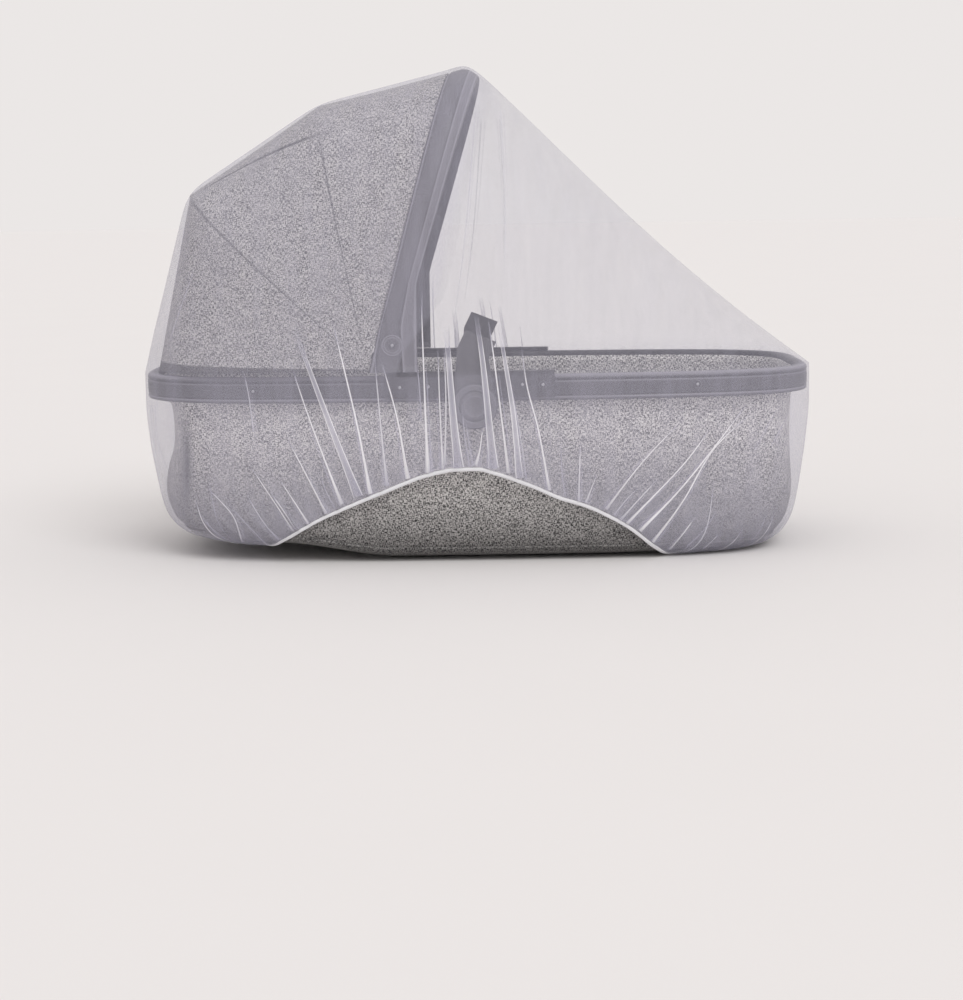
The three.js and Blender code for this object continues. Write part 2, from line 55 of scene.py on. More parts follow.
FLOOR = -FRAME_SHIFT[2]

FOOT = 1
HEAD = -1
NEAR = -1
FAR = 1


def box_mm(node):
    low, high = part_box(node)
    return np.array(low) / MM - FRAME_SHIFT, np.array(high) / MM - FRAME_SHIFT


# Driving sizes, read from the frame where it has them
RAIL_LOW, RAIL_HIGH = box_mm("rim_rail")
REACH = {FOOT: RAIL_HIGH[0], HEAD: -RAIL_LOW[0]}  # of the rail, along the cot
HALF_WIDTH = RAIL_HIGH[1]
RIM_TOP = RAIL_HIGH[2]
PIVOT_X = -86  # where the hood's bows turn, along the cot
SQUARENESS = {FOOT: 4.2, HEAD: 3.6}  # of the cot's ends, seen from above
# The underside rises at the head end: between which places, how much, and below which height
HEAD_RISE = ((90, 225, 16), (225, 320, 2))
RISE_BELOW = 120

NET_SIDE_OUT = 15.2
NET_HALF_WIDTH = HALF_WIDTH + NET_SIDE_OUT
NET_LIFT = 0.6  # half of the frame's net thickness: the sheet runs in the middle of it
SIDE_COLUMNS = 100
END_COLUMNS = 34
SKIRT_ROWS = 40

# Camera: its place in metres, its turns in degrees, and its focal length in the picture's pixels
CAMERA_PLACE = (0.0383, -2.55, 0.406)
CAMERA_DOWN = 8.03
CAMERA_LEFT = 0.8
CAMERA_ROLL = 0.87
PICTURE_HEIGHT = 1000
FOCAL_PIXELS = 2100
SENSOR = 36


def make_camera():
    down, left, roll = (math.radians(a) for a in (CAMERA_DOWN, CAMERA_LEFT, CAMERA_ROLL))
    forward = Vector((
        -math.sin(left) * math.cos(down),
        math.cos(left) * math.cos(down),
        -math.sin(down),
    ))
    level = Vector((math.cos(left), math.sin(left), 0))
    upright = level.cross(forward)
    right = level * math.cos(roll) - upright * math.sin(roll)
    up = upright * math.cos(roll) + level * math.sin(roll)
    data = bpy.data.cameras.new("studio_camera")
    data.sensor_fit = "AUTO"
    data.sensor_width = SENSOR
    data.lens = FOCAL_PIXELS * SENSOR / PICTURE_HEIGHT
    data.clip_start = 0.05
    data.clip_end = 100
    camera = bpy.data.objects.new("studio_camera", data)
    bpy.context.scene.collection.objects.link(camera)
    turn = Matrix((right, up, -forward)).transposed().to_4x4()
    camera.matrix_world = Matrix.Translation(CAMERA_PLACE) @ turn
    bpy.context.scene.camera = camera


make_camera()


# Reading of short tables


def smooth_table(xs, ys):
    """A reader of ys over xs by a curve that never overshoots between two rows."""
    xs = np.asarray(xs, float)
    ys = np.asarray(ys, float)
    gap = np.diff(xs)
    rise = np.diff(ys) / gap
    slope = np.zeros(len(xs))
    slope[0] = rise[0]
    slope[-1] = rise[-1]
    for i in range(1, len(xs) - 1):
        if rise[i - 1] * rise[i] > 0:
            before = 2 * gap[i] + gap[i - 1]
            after = gap[i] + 2 * gap[i - 1]
            slope[i] = (before + after) / (before / rise[i - 1] + after / rise[i])

    def read(x):
        x = np.clip(x, xs[0], xs[-1])
        i = np.clip(np.searchsorted(xs, x, side="right") - 1, 0, len(xs) - 2)
        t = (x - xs[i]) / gap[i]
        start = (1 + 2 * t) * (1 - t) ** 2 * ys[i]
        finish = t * t * (3 - 2 * t) * ys[i + 1]
        bend = gap[i] * t * (1 - t) * ((1 - t) * slope[i] - t * slope[i + 1])
        return start + finish + bend

    return read


def smoothstep(x, low, high):
    t = np.clip((x - low) / (high - low), 0, 1)
    return t * t * (3 - 2 * t)


def unit_arc(angle, power):
    """Unit superellipse at a polar angle: across runs from 1 to -1, along from 0 to 1 and back."""
    c = np.cos(angle)
    s = np.sin(angle)
    r = (np.abs(c) ** power + np.abs(s) ** power) ** (-1 / power)
    return r * c, r * s


def head_rise(x, z):
    """How much higher a point stands than its table says."""
    low = np.clip((RISE_BELOW - z) / RISE_BELOW, 0, 1)
    return low * sum(rise * smoothstep(-x, start, stop) for start, stop, rise in HEAD_RISE)


def outline(end, angle, end_out, side_out, z):
    """A point round the cot: angle 0 is the near hinge and pi the far one."""
    across, along = unit_arc(angle, SQUARENESS[end])
    reach = REACH[end] + end_out - end * PIVOT_X
    x = PIVOT_X + end * reach * along
    y = -(HALF_WIDTH + side_out) * across
    return np.stack(np.broadcast_arrays(x, y, z + head_rise(x, z)), axis=-1)


def angle_at_x(end, x):
    """The angle of the outline's near side at a place along the cot."""
    along = np.abs(x - PIVOT_X) / (REACH[end] - end * PIVOT_X)
    power = SQUARENESS[end]
    return np.arctan2(along, (1 - along ** power) ** (1 / power))


def arch(angle, foot, half, top, power):
    """An arch from the near foot over its top to the far foot; foot and top are (x, z)."""
    across, along = unit_arc(angle, power)
    x = foot[0] + (top[0] - foot[0]) * along
    z = foot[1] + (top[1] - foot[1]) * along
    return np.stack(np.broadcast_arrays(x, -half * across, z), axis=-1)


def smooth_line(points, count):
    """A smooth line through a few points, with its steps equally long."""
    points = np.asarray(points, float)
    padded = np.vstack([2 * points[0] - points[1], points, 2 * points[-1] - points[-2]])
    fine = []
    for i in range(1, len(padded) - 2):
        a, b, c, d = padded[i - 1:i + 3]
        for t in np.linspace(0, 1, 24, endpoint=False):
            fine.append(0.5 * (
                2 * b + (c - a) * t
                + (2 * a - 5 * b + 4 * c - d) * t ** 2
                + (3 * b - a - 3 * c + d) * t ** 3
            ))
    fine.append(points[-1])
    fine = np.array(fine)
    length = np.concatenate([[0], np.cumsum(np.linalg.norm(np.diff(fine, axis=0), axis=1))])
    at = np.linspace(0, length[-1], count)
    return np.stack([np.interp(at, length, fine[:, k]) for k in range(fine.shape[1])], axis=1)


# Meshes


class Shape:
    """Points and faces of one piece, in millimetres, with a value for each point: the net's density,
    the darkness of seams, and painted highlights and shade.
    """

    def __init__(self):
        self.points = []
        self.faces = []
        self.density = []

    def add_grid(self, grid, ring=False, flip=False, density=0.0):
        """A grid of points, rows first. ring joins each row's last point to its first."""
        grid = np.asarray(grid, float)
        rows, columns = grid.shape[:2]
        start = len(self.points)
        self.points.extend(grid.reshape(-1, 3).tolist())
        shades = np.broadcast_to(np.asarray(density, float), (rows, columns))
        self.density.extend(shades.reshape(-1).tolist())
        spans = columns if ring else columns - 1
        for row in range(rows - 1):
            for column in range(spans):
                a = start + row * columns + column
                b = start + row * columns + (column + 1) % columns
                face = (a, b, b + columns, a + columns)
                self.faces.append(face[::-1] if flip else face)
        return start

    def add_face(self, indices):
        self.faces.append(tuple(indices))


def box_uv(mesh):
    """Threads that run straight along each panel: a face takes the two axes it faces least."""
    layer = mesh.uv_layers.new(name="cloth")
    count = len(mesh.vertices)
    places = np.empty(count * 3)
    mesh.vertices.foreach_get("co", places)
    places = places.reshape(-1, 3)
    corners = np.empty(len(mesh.loops), dtype=int)
    mesh.loops.foreach_get("vertex_index", corners)
    uv = np.empty((len(corners), 2))
    for polygon in mesh.polygons:
        facing = [abs(part) for part in polygon.normal]
        axis = facing.index(max(facing))
        kept = [1, 2] if axis == 0 else [0, 2] if axis == 1 else [0, 1]
        loops = polygon.loop_indices
        uv[loops.start:loops.stop] = places[corners[loops.start:loops.stop]][:, kept]
    layer.data.foreach_set("uv", uv.reshape(-1))


def make_piece(name, shape, material, replaces=(), merge=0.02, thick=0.0):
    """Makes the mesh of one piece and ties it to the frame's only body."""
    mesh = bpy.data.meshes.new(name)
    points = ((np.array(shape.points) + FRAME_SHIFT) * MM).tolist()
    mesh.from_pydata(points, [], shape.faces)
    layer = mesh.attributes.new("cover", "FLOAT", "POINT")
    layer.data.foreach_set("value", np.array(shape.density, dtype=np.float32))
    work = bmesh.new()
    work.from_mesh(mesh)
    bmesh.ops.remove_doubles(work, verts=work.verts, dist=merge * MM)
    bmesh.ops.dissolve_degenerate(work, edges=work.edges, dist=merge * MM * 0.5)
    work.to_mesh(mesh)
    work.free()
    mesh.validate()
    for polygon in mesh.polygons:
        polygon.use_smooth = True
    box_uv(mesh)
    mesh.materials.append(material)
    piece = bpy.data.objects.new(name, mesh)
    bpy.context.scene.collection.objects.link(piece)
    if thick:
        solid = piece.modifiers.new("thickness", "SOLIDIFY")
        solid.thickness = thick * MM
        solid.offset = -1
    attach(piece, "root")
    if replaces:
        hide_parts(*replaces)
    return piece


# Materials


def new_group(name, inputs, outputs):
    """A shader node group with named float or vector sockets."""
    group = bpy.data.node_groups.new(name, "ShaderNodeTree")
    for label, kind, value in inputs:
        socket = group.interface.new_socket(label, in_out="INPUT", socket_type=kind)
        if value is not None:
            socket.default_value = value
    for label, kind in outputs:
        group.interface.new_socket(label, in_out="OUTPUT", socket_type=kind)
    return group, group.nodes.new("NodeGroupInput"), group.nodes.new("NodeGroupOutput")


def math_node(tree, operation, first, second=None, clamp=False):
    node = tree.nodes.new("ShaderNodeMath")
    node.operation = operation
    node.use_clamp = clamp
    for socket, value in zip(node.inputs, (first, second)):
        if value is None:
            continue
        if isinstance(value, bpy.types.NodeSocket):
            tree.links.new(value, socket)
        else:
            socket.default_value = value
    return node.outputs[0]


def map_node(tree, value, from_low, from_high, to_low, to_high):
    node = tree.nodes.new("ShaderNodeMapRange")
    tree.links.new(value, node.inputs["Value"])
    for label, number in zip(
        ("From Min", "From Max", "To Min", "To Max"), (from_low, from_high, to_low, to_high)
    ):
        node.inputs[label].default_value = number
    return node.outputs[0]


def noise_node(tree, vector, scale, detail=2.0, stretch=None):
    """Noise over a vector in metres; stretch squeezes it along x and y."""
    if stretch:
        mapping = tree.nodes.new("ShaderNodeMapping")
        mapping.inputs["Scale"].default_value = stretch
        tree.links.new(vector, mapping.inputs["Vector"])
        vector = mapping.outputs[0]
    node = tree.nodes.new("ShaderNodeTexNoise")
    node.inputs["Scale"].default_value = scale
    node.inputs["Detail"].default_value = detail
    tree.links.new(vector, node.inputs["Vector"])
    return node.outputs["Fac"]


def linen_group():
    """Uneven yarns in two directions: how light each fleck is, and how high the cloth stands."""
    group, start, finish = new_group(
        "linen_yarns",
        [("Vector", "NodeSocketVector", None), ("Contrast", "NodeSocketFloat", 1.0)],
        [("Fleck", "NodeSocketFloat"), ("Height", "NodeSocketFloat")],
    )
    place = start.outputs["Vector"]
    warp = noise_node(group, place, 1.0, 2.0, stretch=(1150, 300, 1))
    weft = noise_node(group, place, 1.0, 2.0, stretch=(310, 1150, 1))
    slubs = noise_node(group, place, 1.0, 3.0, stretch=(60, 85, 1))
    both = math_node(group, "ADD", warp, weft)
    mixed = math_node(group, "MULTIPLY_ADD", slubs, 0.2)
    group.links.new(both, mixed.node.inputs[2])
    centred = math_node(group, "SUBTRACT", mixed, 1.1)
    strong = math_node(group, "MULTIPLY", centred, start.outputs["Contrast"])
    fleck = math_node(group, "ADD", strong, 0.5, clamp=True)
    group.links.new(fleck, finish.inputs["Fleck"])
    group.links.new(math_node(group, "MULTIPLY", both, 0.5), finish.inputs["Height"])
    return group


def tulle_group():
    """Fine diamond mesh: 1 on a thread and lower in a hole, in cells of a set size."""
    group, start, finish = new_group(
        "tulle_threads",
        [("Vector", "NodeSocketVector", None), ("Cells", "NodeSocketFloat", 900.0)],
        [("Thread", "NodeSocketFloat")],
    )
    split = group.nodes.new("ShaderNodeSeparateXYZ")
    group.links.new(start.outputs["Vector"], split.inputs[0])
    lean_up = math_node(group, "ADD", split.outputs[0], split.outputs[1])
    lean_down = math_node(group, "SUBTRACT", split.outputs[0], split.outputs[1])
    ridges = []
    for lean in (lean_up, lean_down):
        phase = math_node(group, "MULTIPLY", lean, start.outputs["Cells"])
        wave = math_node(group, "SINE", math_node(group, "MULTIPLY", phase, math.pi))
        ridges.append(math_node(group, "ABSOLUTE", wave))
    thread = math_node(group, "MINIMUM", *ridges)
    group.links.new(math_node(group, "SUBTRACT", 1.0, thread), finish.inputs["Thread"])
    return group


def grain_group():
    """Fine moulded texture of satin plastic with faint smears."""
    group, start, finish = new_group(
        "moulded_grain",
        [("Vector", "NodeSocketVector", None), ("Fineness", "NodeSocketFloat", 2200.0)],
        [("Grain", "NodeSocketFloat"), ("Smear", "NodeSocketFloat")],
    )
    grain = group.nodes.new("ShaderNodeTexNoise")
    grain.inputs["Detail"].default_value = 1.0
    group.links.new(start.outputs["Vector"], grain.inputs["Vector"])
    group.links.new(start.outputs["Fineness"], grain.inputs["Scale"])
    smear = noise_node(group, start.outputs["Vector"], 1.0, 3.0, stretch=(14, 14, 60))
    group.links.new(grain.outputs["Fac"], finish.inputs["Grain"])
    group.links.new(smear, finish.inputs["Smear"])
    return group


LINEN = linen_group()
TULLE = tulle_group()
GRAIN = grain_group()


def new_material(name, roughness, specular=0.5, sheen=0.0):
    material = bpy.data.materials.new(name)
    material.use_nodes = True
    tree = material.node_tree
    shader = tree.nodes["Principled BSDF"]
    shader.inputs["Roughness"].default_value = roughness
    shader.inputs["Specular IOR Level"].default_value = specular
    shader.inputs["Sheen Weight"].default_value = sheen
    return material, tree, shader


def place_group(tree, group, vector, **values):
    node = tree.nodes.new("ShaderNodeGroup")
    node.node_tree = group
    tree.links.new(vector, node.inputs["Vector"])
    for label, value in values.items():
        node.inputs[label].default_value = value
    return node


def mix_colours(tree, factor, first, second):
    node = tree.nodes.new("ShaderNodeMix")
    node.data_type = "RGBA"
    tree.links.new(factor, node.inputs["Factor"])
    for label, value in (("A", first), ("B", second)):
        socket = next(s for s in node.inputs if s.name == label and s.type == "RGBA")
        if isinstance(value, bpy.types.NodeSocket):
            tree.links.new(value, socket)
        else:
            socket.default_value = (*value, 1)
    return next(s for s in node.outputs if s.type == "RGBA")


def add_bump(tree, shader, height, distance, strength):
    bump = tree.nodes.new("ShaderNodeBump")
    bump.inputs["Distance"].default_value = distance * MM
    bump.inputs["Strength"].default_value = strength
    tree.links.new(height, bump.inputs["Height"])
    tree.links.new(bump.outputs[0], shader.inputs["Normal"])


def cloth_uv(tree):
    node = tree.nodes.new("ShaderNodeUVMap")
    node.uv_map = "cloth"
    return node.outputs[0]


def object_place(tree):
    return tree.nodes.new("ShaderNodeTexCoord").outputs["Object"]


def density_of(tree):
    node = tree.nodes.new("ShaderNodeAttribute")
    node.attribute_name = "cover"
    return node.outputs["Fac"]


# Colours are linear
NET_LAVENDER = (0.60, 0.59, 0.70)
NET_WHITE = (0.90, 0.89, 0.93)
WHITE_FROM_TO = (0.42, 0.68)  # densities between which the net turns white
ELASTIC_WHITE = (0.88, 0.88, 0.90)
ELASTIC_SHADE = (0.72, 0.72, 0.76)
LINEN_DARK = (0.035, 0.034, 0.036)
LINEN_LIGHT = (0.66, 0.64, 0.63)
PLASTIC_BLACK = (0.020, 0.019, 0.022)
PLASTIC_WORN = (0.045, 0.043, 0.048)
# painted highlight of the plastic's edges and ridges
PAINTED_HIGHLIGHT = (0.30, 0.29, 0.33)
ARM_GREY = (0.075, 0.073, 0.08)
ARM_WORN = (0.12, 0.118, 0.128)
STEEL = (0.55, 0.55, 0.58)


def sheer_net():
    """The net: its threads and its density make it more or less sheer; dense cloth is white."""
    material, tree, shader = new_material("sheer_net", 0.75, 0.2, 0.05)
    density = density_of(tree)
    threads = place_group(tree, TULLE, cloth_uv(tree), Cells=800.0)
    streaks = noise_node(tree, object_place(tree), 1.0, 3.0, stretch=(70, 20, 8))
    weave = map_node(tree, threads.outputs["Thread"], 0, 1, 0.72, 1.28)
    uneven = map_node(tree, streaks, 0.3, 0.7, 0.88, 1.12)
    woven = math_node(tree, "MULTIPLY", density, weave)
    alpha = math_node(tree, "MULTIPLY", woven, uneven, clamp=True)
    whiteness = map_node(tree, density, *WHITE_FROM_TO, 0, 1)
    tone = mix_colours(tree, whiteness, NET_LAVENDER, NET_WHITE)
    tree.links.new(tone, shader.inputs["Base Color"])
    tree.links.new(alpha, shader.inputs["Alpha"])
    add_bump(tree, shader, threads.outputs["Thread"], 0.15, 0.4)
    return material


def white_elastic():
    """Ribbed white elastic."""
    material, tree, shader = new_material("white_elastic", 0.7, 0.3, 0.2)
    place = cloth_uv(tree)
    ribs = place_group(tree, TULLE, place, Cells=520.0)
    tone = mix_colours(tree, ribs.outputs["Thread"], ELASTIC_SHADE, ELASTIC_WHITE)
    tree.links.new(tone, shader.inputs["Base Color"])
    add_bump(tree, shader, ribs.outputs["Thread"], 0.3, 0.6)
    return material


def grey_linen(name, contrast, painted_shade_low, painted_light_high, low_z, high_z):
    """Heathered cloth with painted light and shade: its tone is scaled from the value at high_z down
    to the one at low_z, painted light above and painted shade below where the two differ. The cover
    value darkens it at seams and rib lines, and paints shade along the hood's lower edge and in the
    tub's crease.
    """
    material, tree, shader = new_material(name, 0.9, 0.25, 0.12)
    yarns = place_group(tree, LINEN, cloth_uv(tree), Contrast=contrast)
    tone = mix_colours(tree, yarns.outputs["Fleck"], LINEN_DARK, LINEN_LIGHT)
    split = tree.nodes.new("ShaderNodeSeparateXYZ")
    tree.links.new(object_place(tree), split.inputs[0])
    # Painted shade and light: the tone scaled by height, darker towards the bottom and lighter towards
    # the top
    shade = map_node(tree, split.outputs["Z"], low_z * MM, high_z * MM, painted_shade_low, painted_light_high)
    # Darker where the cover value is high: the hood's seams and rib lines, and painted shade along the
    # hood's lower edge and in the tub's fold by its head end
    seam = map_node(tree, density_of(tree), 0, 1, 1, 0.2)
    combined = math_node(tree, "MULTIPLY", shade, seam)
    dimmed = tree.nodes.new("ShaderNodeVectorMath")
    dimmed.operation = "SCALE"
    tree.links.new(tone, dimmed.inputs[0])
    tree.links.new(combined, dimmed.inputs["Scale"])
    tree.links.new(dimmed.outputs[0], shader.inputs["Base Color"])
    add_bump(tree, shader, yarns.outputs["Height"], 0.5, 0.6)
    return material


def moulded_plastic(name, fresh, worn):
    """Satin plastic; the cover value of a point mixes in a lighter colour: painted highlights along
    its edges and ridges.
    """
    material, tree, shader = new_material(name, 0.45, 0.5)
    grain = place_group(tree, GRAIN, object_place(tree))
    tone = mix_colours(tree, grain.outputs["Smear"], fresh, worn)
    # painted highlights where the cover value is high
    highlighted = mix_colours(tree, density_of(tree), tone, PAINTED_HIGHLIGHT)
    tree.links.new(highlighted, shader.inputs["Base Color"])
    roughness = map_node(tree, grain.outputs["Smear"], 0.3, 0.7, 0.38, 0.55)
    tree.links.new(roughness, shader.inputs["Roughness"])
    add_bump(tree, shader, grain.outputs["Grain"], 0.05, 0.5)
    return material


def bright_steel():
    """Rivet heads, a little uneven in their gloss."""
    material, tree, shader = new_material("bright_steel", 0.3)
    shader.inputs["Metallic"].default_value = 0.9
    grain = place_group(tree, GRAIN, object_place(tree))
    roughness = map_node(tree, grain.outputs["Grain"], 0.3, 0.7, 0.22, 0.4)
    tree.links.new(roughness, shader.inputs["Roughness"])
    shader.inputs["Base Color"].default_value = (*STEEL, 1)
    return material


NET_CLOTH = sheer_net()
ELASTIC = white_elastic()
# The tub's tone is painted darker low down and lighter high up: painted shade and light
TUB_LINEN = grey_linen("tub_linen", 4.0, 0.34, 1.55, 10, 150)
HOOD_LINEN = grey_linen("hood_linen", 3.7, 1.05, 1.05, 0, 100)
PLASTIC = moulded_plastic("black_plastic", PLASTIC_BLACK, PLASTIC_WORN)
ARM_PLASTIC = moulded_plastic("arm_plastic", ARM_GREY, ARM_WORN)
METAL = bright_steel()


# The net

# How far down the cloth each height of the outline lies, from the rim's top
SKIRT = {
    "fall": (0, 37.5, 89.5, 121.5, 149.5, 177.5, 195, 209, 223, 243, 383),
    "z": (RIM_TOP, 172, 120, 88, 60, 33, 17, 6, -1.5, FLOOR, FLOOR),
    "end_out": (1.9, 2.2, -1.5, -5.5, -9.5, -15.5, -23.5, -34, -49, -72, -212),
    "side_out": (15.2, 14.4, 6.5, 0, -5.5, -10, -14.5, -20, -28.5, -44, -184),
}
PROFILE = {
    column: smooth_table(SKIRT["fall"], SKIRT[column]) for column in ("z", "end_out", "side_out")
}
FLAT_FALL = 243  # from here on the cloth lies flat under the cot

# How far down the cloth the hem runs, by the angle round the outline in degrees
HEM_FALL = {
    FOOT: smooth_table(
        (0, 4, 8.1, 10.7, 12.5, 18.3, 21.2, 24.2, 29.2, 33.3, 36.1, 39, 47, 54, 62, 71, 90),
        (
            121.5, 109.5, 103.5, 103.5, 107.5, 126.5, 138.5, 147.5, 171.5,
            199, 216.5, 234, 261, 275, 285, 290, 292,
        ),
    ),
    HEAD: smooth_table(
        (0, 7.5, 16.3, 24, 28.2, 33.1, 45, 60, 90),
        (121.5, 138.5, 164.5, 195, 211.5, 230.5, 267, 287, 293),
    ),
}

# Where the folds of each end meet the hem and the rim
HEM_X = {
    FOOT: (-86, -53, -18, 21, 45, 72, 121, 145, 171, 202),
    HEAD: (-86, -104, -121, -138, -155, -172, -191, -209, -246, -280),
}
RIM_X = {
    FOOT: (-86, -55, -27, 11, 33, 58, 140, 236, 291, 340),
    HEAD: (-86, -109, -143, -175, -200, -234, -270, -305, -338, -362),
}

# Ridges over the hood from the head end forwards: foot (x), top (x, z), squareness
NET_RIDGES = (
    (-119, (-384, 240), 3.5),
    (-119, (-335.5, 419.5), 3.2),
    (-119, (-179.5, 519.5), 3.2),
    (-122, (-28.5, 556), 3.2),
    (-91, (-7, 562.5), 3.2),
    (-57, (10, 552.5), 3.2),
)
DOME_ROWS = (6, 16, 16, 14, 4, 4, 34)  # rows of the sheet from each ridge to the next
FOOT_BLEND = 0.25  # share of a ridge's rise over which it comes in to the hinge
FRONT_SAG = 16  # of the free slope before the hood, at its middle
FRONT_SAG_SKEW = 1.3  # puts the deepest place nearer to the foot end
CORNER_PASSES = 3  # how often the dome's rows are evened out, to round its ridges

# Crests of the gathered cloth: height and its change from fold to fold, width in radians
CREST_HEIGHT = 2.2
CREST_CHANGE = 1.1
CREST_TURN = 2.3
CREST_WIDTH = 0.012
CREST_GROWTH = 1.6  # power by which a crest grows towards the hem
CREST_FADE_FALL = 180  # how far down the cloth it starts to lie flat

# How much the net covers what is behind it
NET_DENSITY = 0.31
HEM_DENSITY = 0.38  # at the hem, where it is gathered
GATHER_POWER = 1.4  # by which the cover grows towards the hem
FRONT_DENSITY = 0.22  # of the free slope before the hood
FRONT_ROWS = 3  # rows over which it changes at that slope's edges


def quarter(end):
    """Angles at the hem and the rim of the columns from the near hinge to the end's middle."""
    hem_x = np.array(HEM_X[end], float)
    last = angle_at_x(end, hem_x[-1])
    side = angle_at_x(end, np.linspace(PIVOT_X, hem_x[-1], SIDE_COLUMNS, endpoint=False))
    ahead = last + (math.pi / 2 - last) * np.linspace(0, 1, END_COLUMNS + 1) ** 1.2
    hem = np.concatenate([side, ahead])
    knots = np.append(angle_at_x(end, hem_x), math.pi / 2)
    rims = np.append(angle_at_x(end, np.array(RIM_X[end], float)), math.pi / 2)
    return hem, np.interp(hem, knots, rims)


def half_round(end):
    """The same for the whole end, from the near hinge to the far one."""
    hem, rim = quarter(end)
    return (
        np.concatenate([hem, math.pi - hem[-2::-1]]),
        np.concatenate([rim, math.pi - rim[-2::-1]]),
    )


def hem_fall(end, angle):
    degrees = np.degrees(angle)
    return HEM_FALL[end](90 - np.abs(90 - degrees))


def skirt_point(end, rim, hem, fall, lift=0.0):
    """A point of the net below the rim; lift moves it out of the smooth surface."""
    down = np.clip(fall / hem_fall(end, hem), 0, 1)
    angle = rim + (hem - rim) * down
    return outline(
        end, angle, PROFILE["end_out"](fall) + lift, PROFILE["side_out"](fall) + lift,
        np.maximum(PROFILE["z"](fall), FLOOR + NET_LIFT),
    )


def gather_lift(end, hem, fall):
    """Soft troughs and crests of the gathered cloth, strongest at the hem."""
    folded = np.minimum(hem, math.pi - hem)
    lift = np.zeros_like(folded)
    for number, x in enumerate(HEM_X[end][1:]):
        crest = CREST_HEIGHT + CREST_CHANGE * math.sin(number * CREST_TURN)
        lift = lift + crest * np.exp(-((folded - angle_at_x(end, x)) / CREST_WIDTH) ** 2)
    grown = np.clip(fall / hem_fall(end, hem), 0, 1) ** CREST_GROWTH
    return lift * grown * (1 - smoothstep(fall, CREST_FADE_FALL, FLAT_FALL))


def net_skirt():
    """Rows of the net from the rim down to the hem, all the way round."""
    foot_hem, foot_rim = half_round(FOOT)
    head_hem, head_rim = half_round(HEAD)
    rows = []
    for share in np.linspace(0, 1, SKIRT_ROWS + 1):
        parts = []
        for end, rim, hem in ((FOOT, foot_rim, foot_hem), (HEAD, head_rim, head_hem)):
            fall = hem_fall(end, hem) * share
            parts.append(skirt_point(end, rim, hem, fall, gather_lift(end, hem, fall)))
        rows.append(np.concatenate([parts[0], parts[1][-2:0:-1]]))
    return np.array(rows)


def net_dome(foot_edge, head_edge):
    """Rows of the net above the rim, from the head end over the hood to the foot end."""
    _, foot_rim = half_round(FOOT)
    _, head_rim = half_round(HEAD)
    half = len(foot_rim) - 1
    even = np.linspace(0, math.pi, half + 1)
    total = len(NET_RIDGES) + 4
    ridges = [head_edge]
    for number, (foot_x, top, power) in enumerate(NET_RIDGES, 1):
        rim = head_rim + (foot_rim - head_rim) * number / total
        angle = rim + (even - rim) * min(1, number / 3)
        line = arch(angle, (foot_x, RIM_TOP), NET_HALF_WIDTH, top, power)
        rise = (line[:, 2] - RIM_TOP) / (top[1] - RIM_TOP)
        line[:, 0] = PIVOT_X + (line[:, 0] - PIVOT_X) * smoothstep(rise, 0, FOOT_BLEND)
        line[0] = head_edge[0]
        line[-1] = head_edge[-1]
        ridges.append(line)
    ridges.append(foot_edge)
    rows = []
    for number, count in enumerate(DOME_ROWS):
        for step in range(count):
            t = step / count
            row = ridges[number] * (1 - t) + ridges[number + 1] * t
            if number == len(NET_RIDGES):
                middle = 1 - (row[:, 1] / NET_HALF_WIDTH) ** 2
                row[:, 2] -= FRONT_SAG * math.sin(math.pi * t ** FRONT_SAG_SKEW) * middle
            rows.append(row)
    rows.append(foot_edge)
    rows = np.array(rows)
    for _ in range(CORNER_PASSES):
        evened = rows.copy()
        evened[1:-1] = 0.5 * rows[1:-1] + 0.25 * (rows[:-2] + rows[2:])
        rows = evened
    return rows


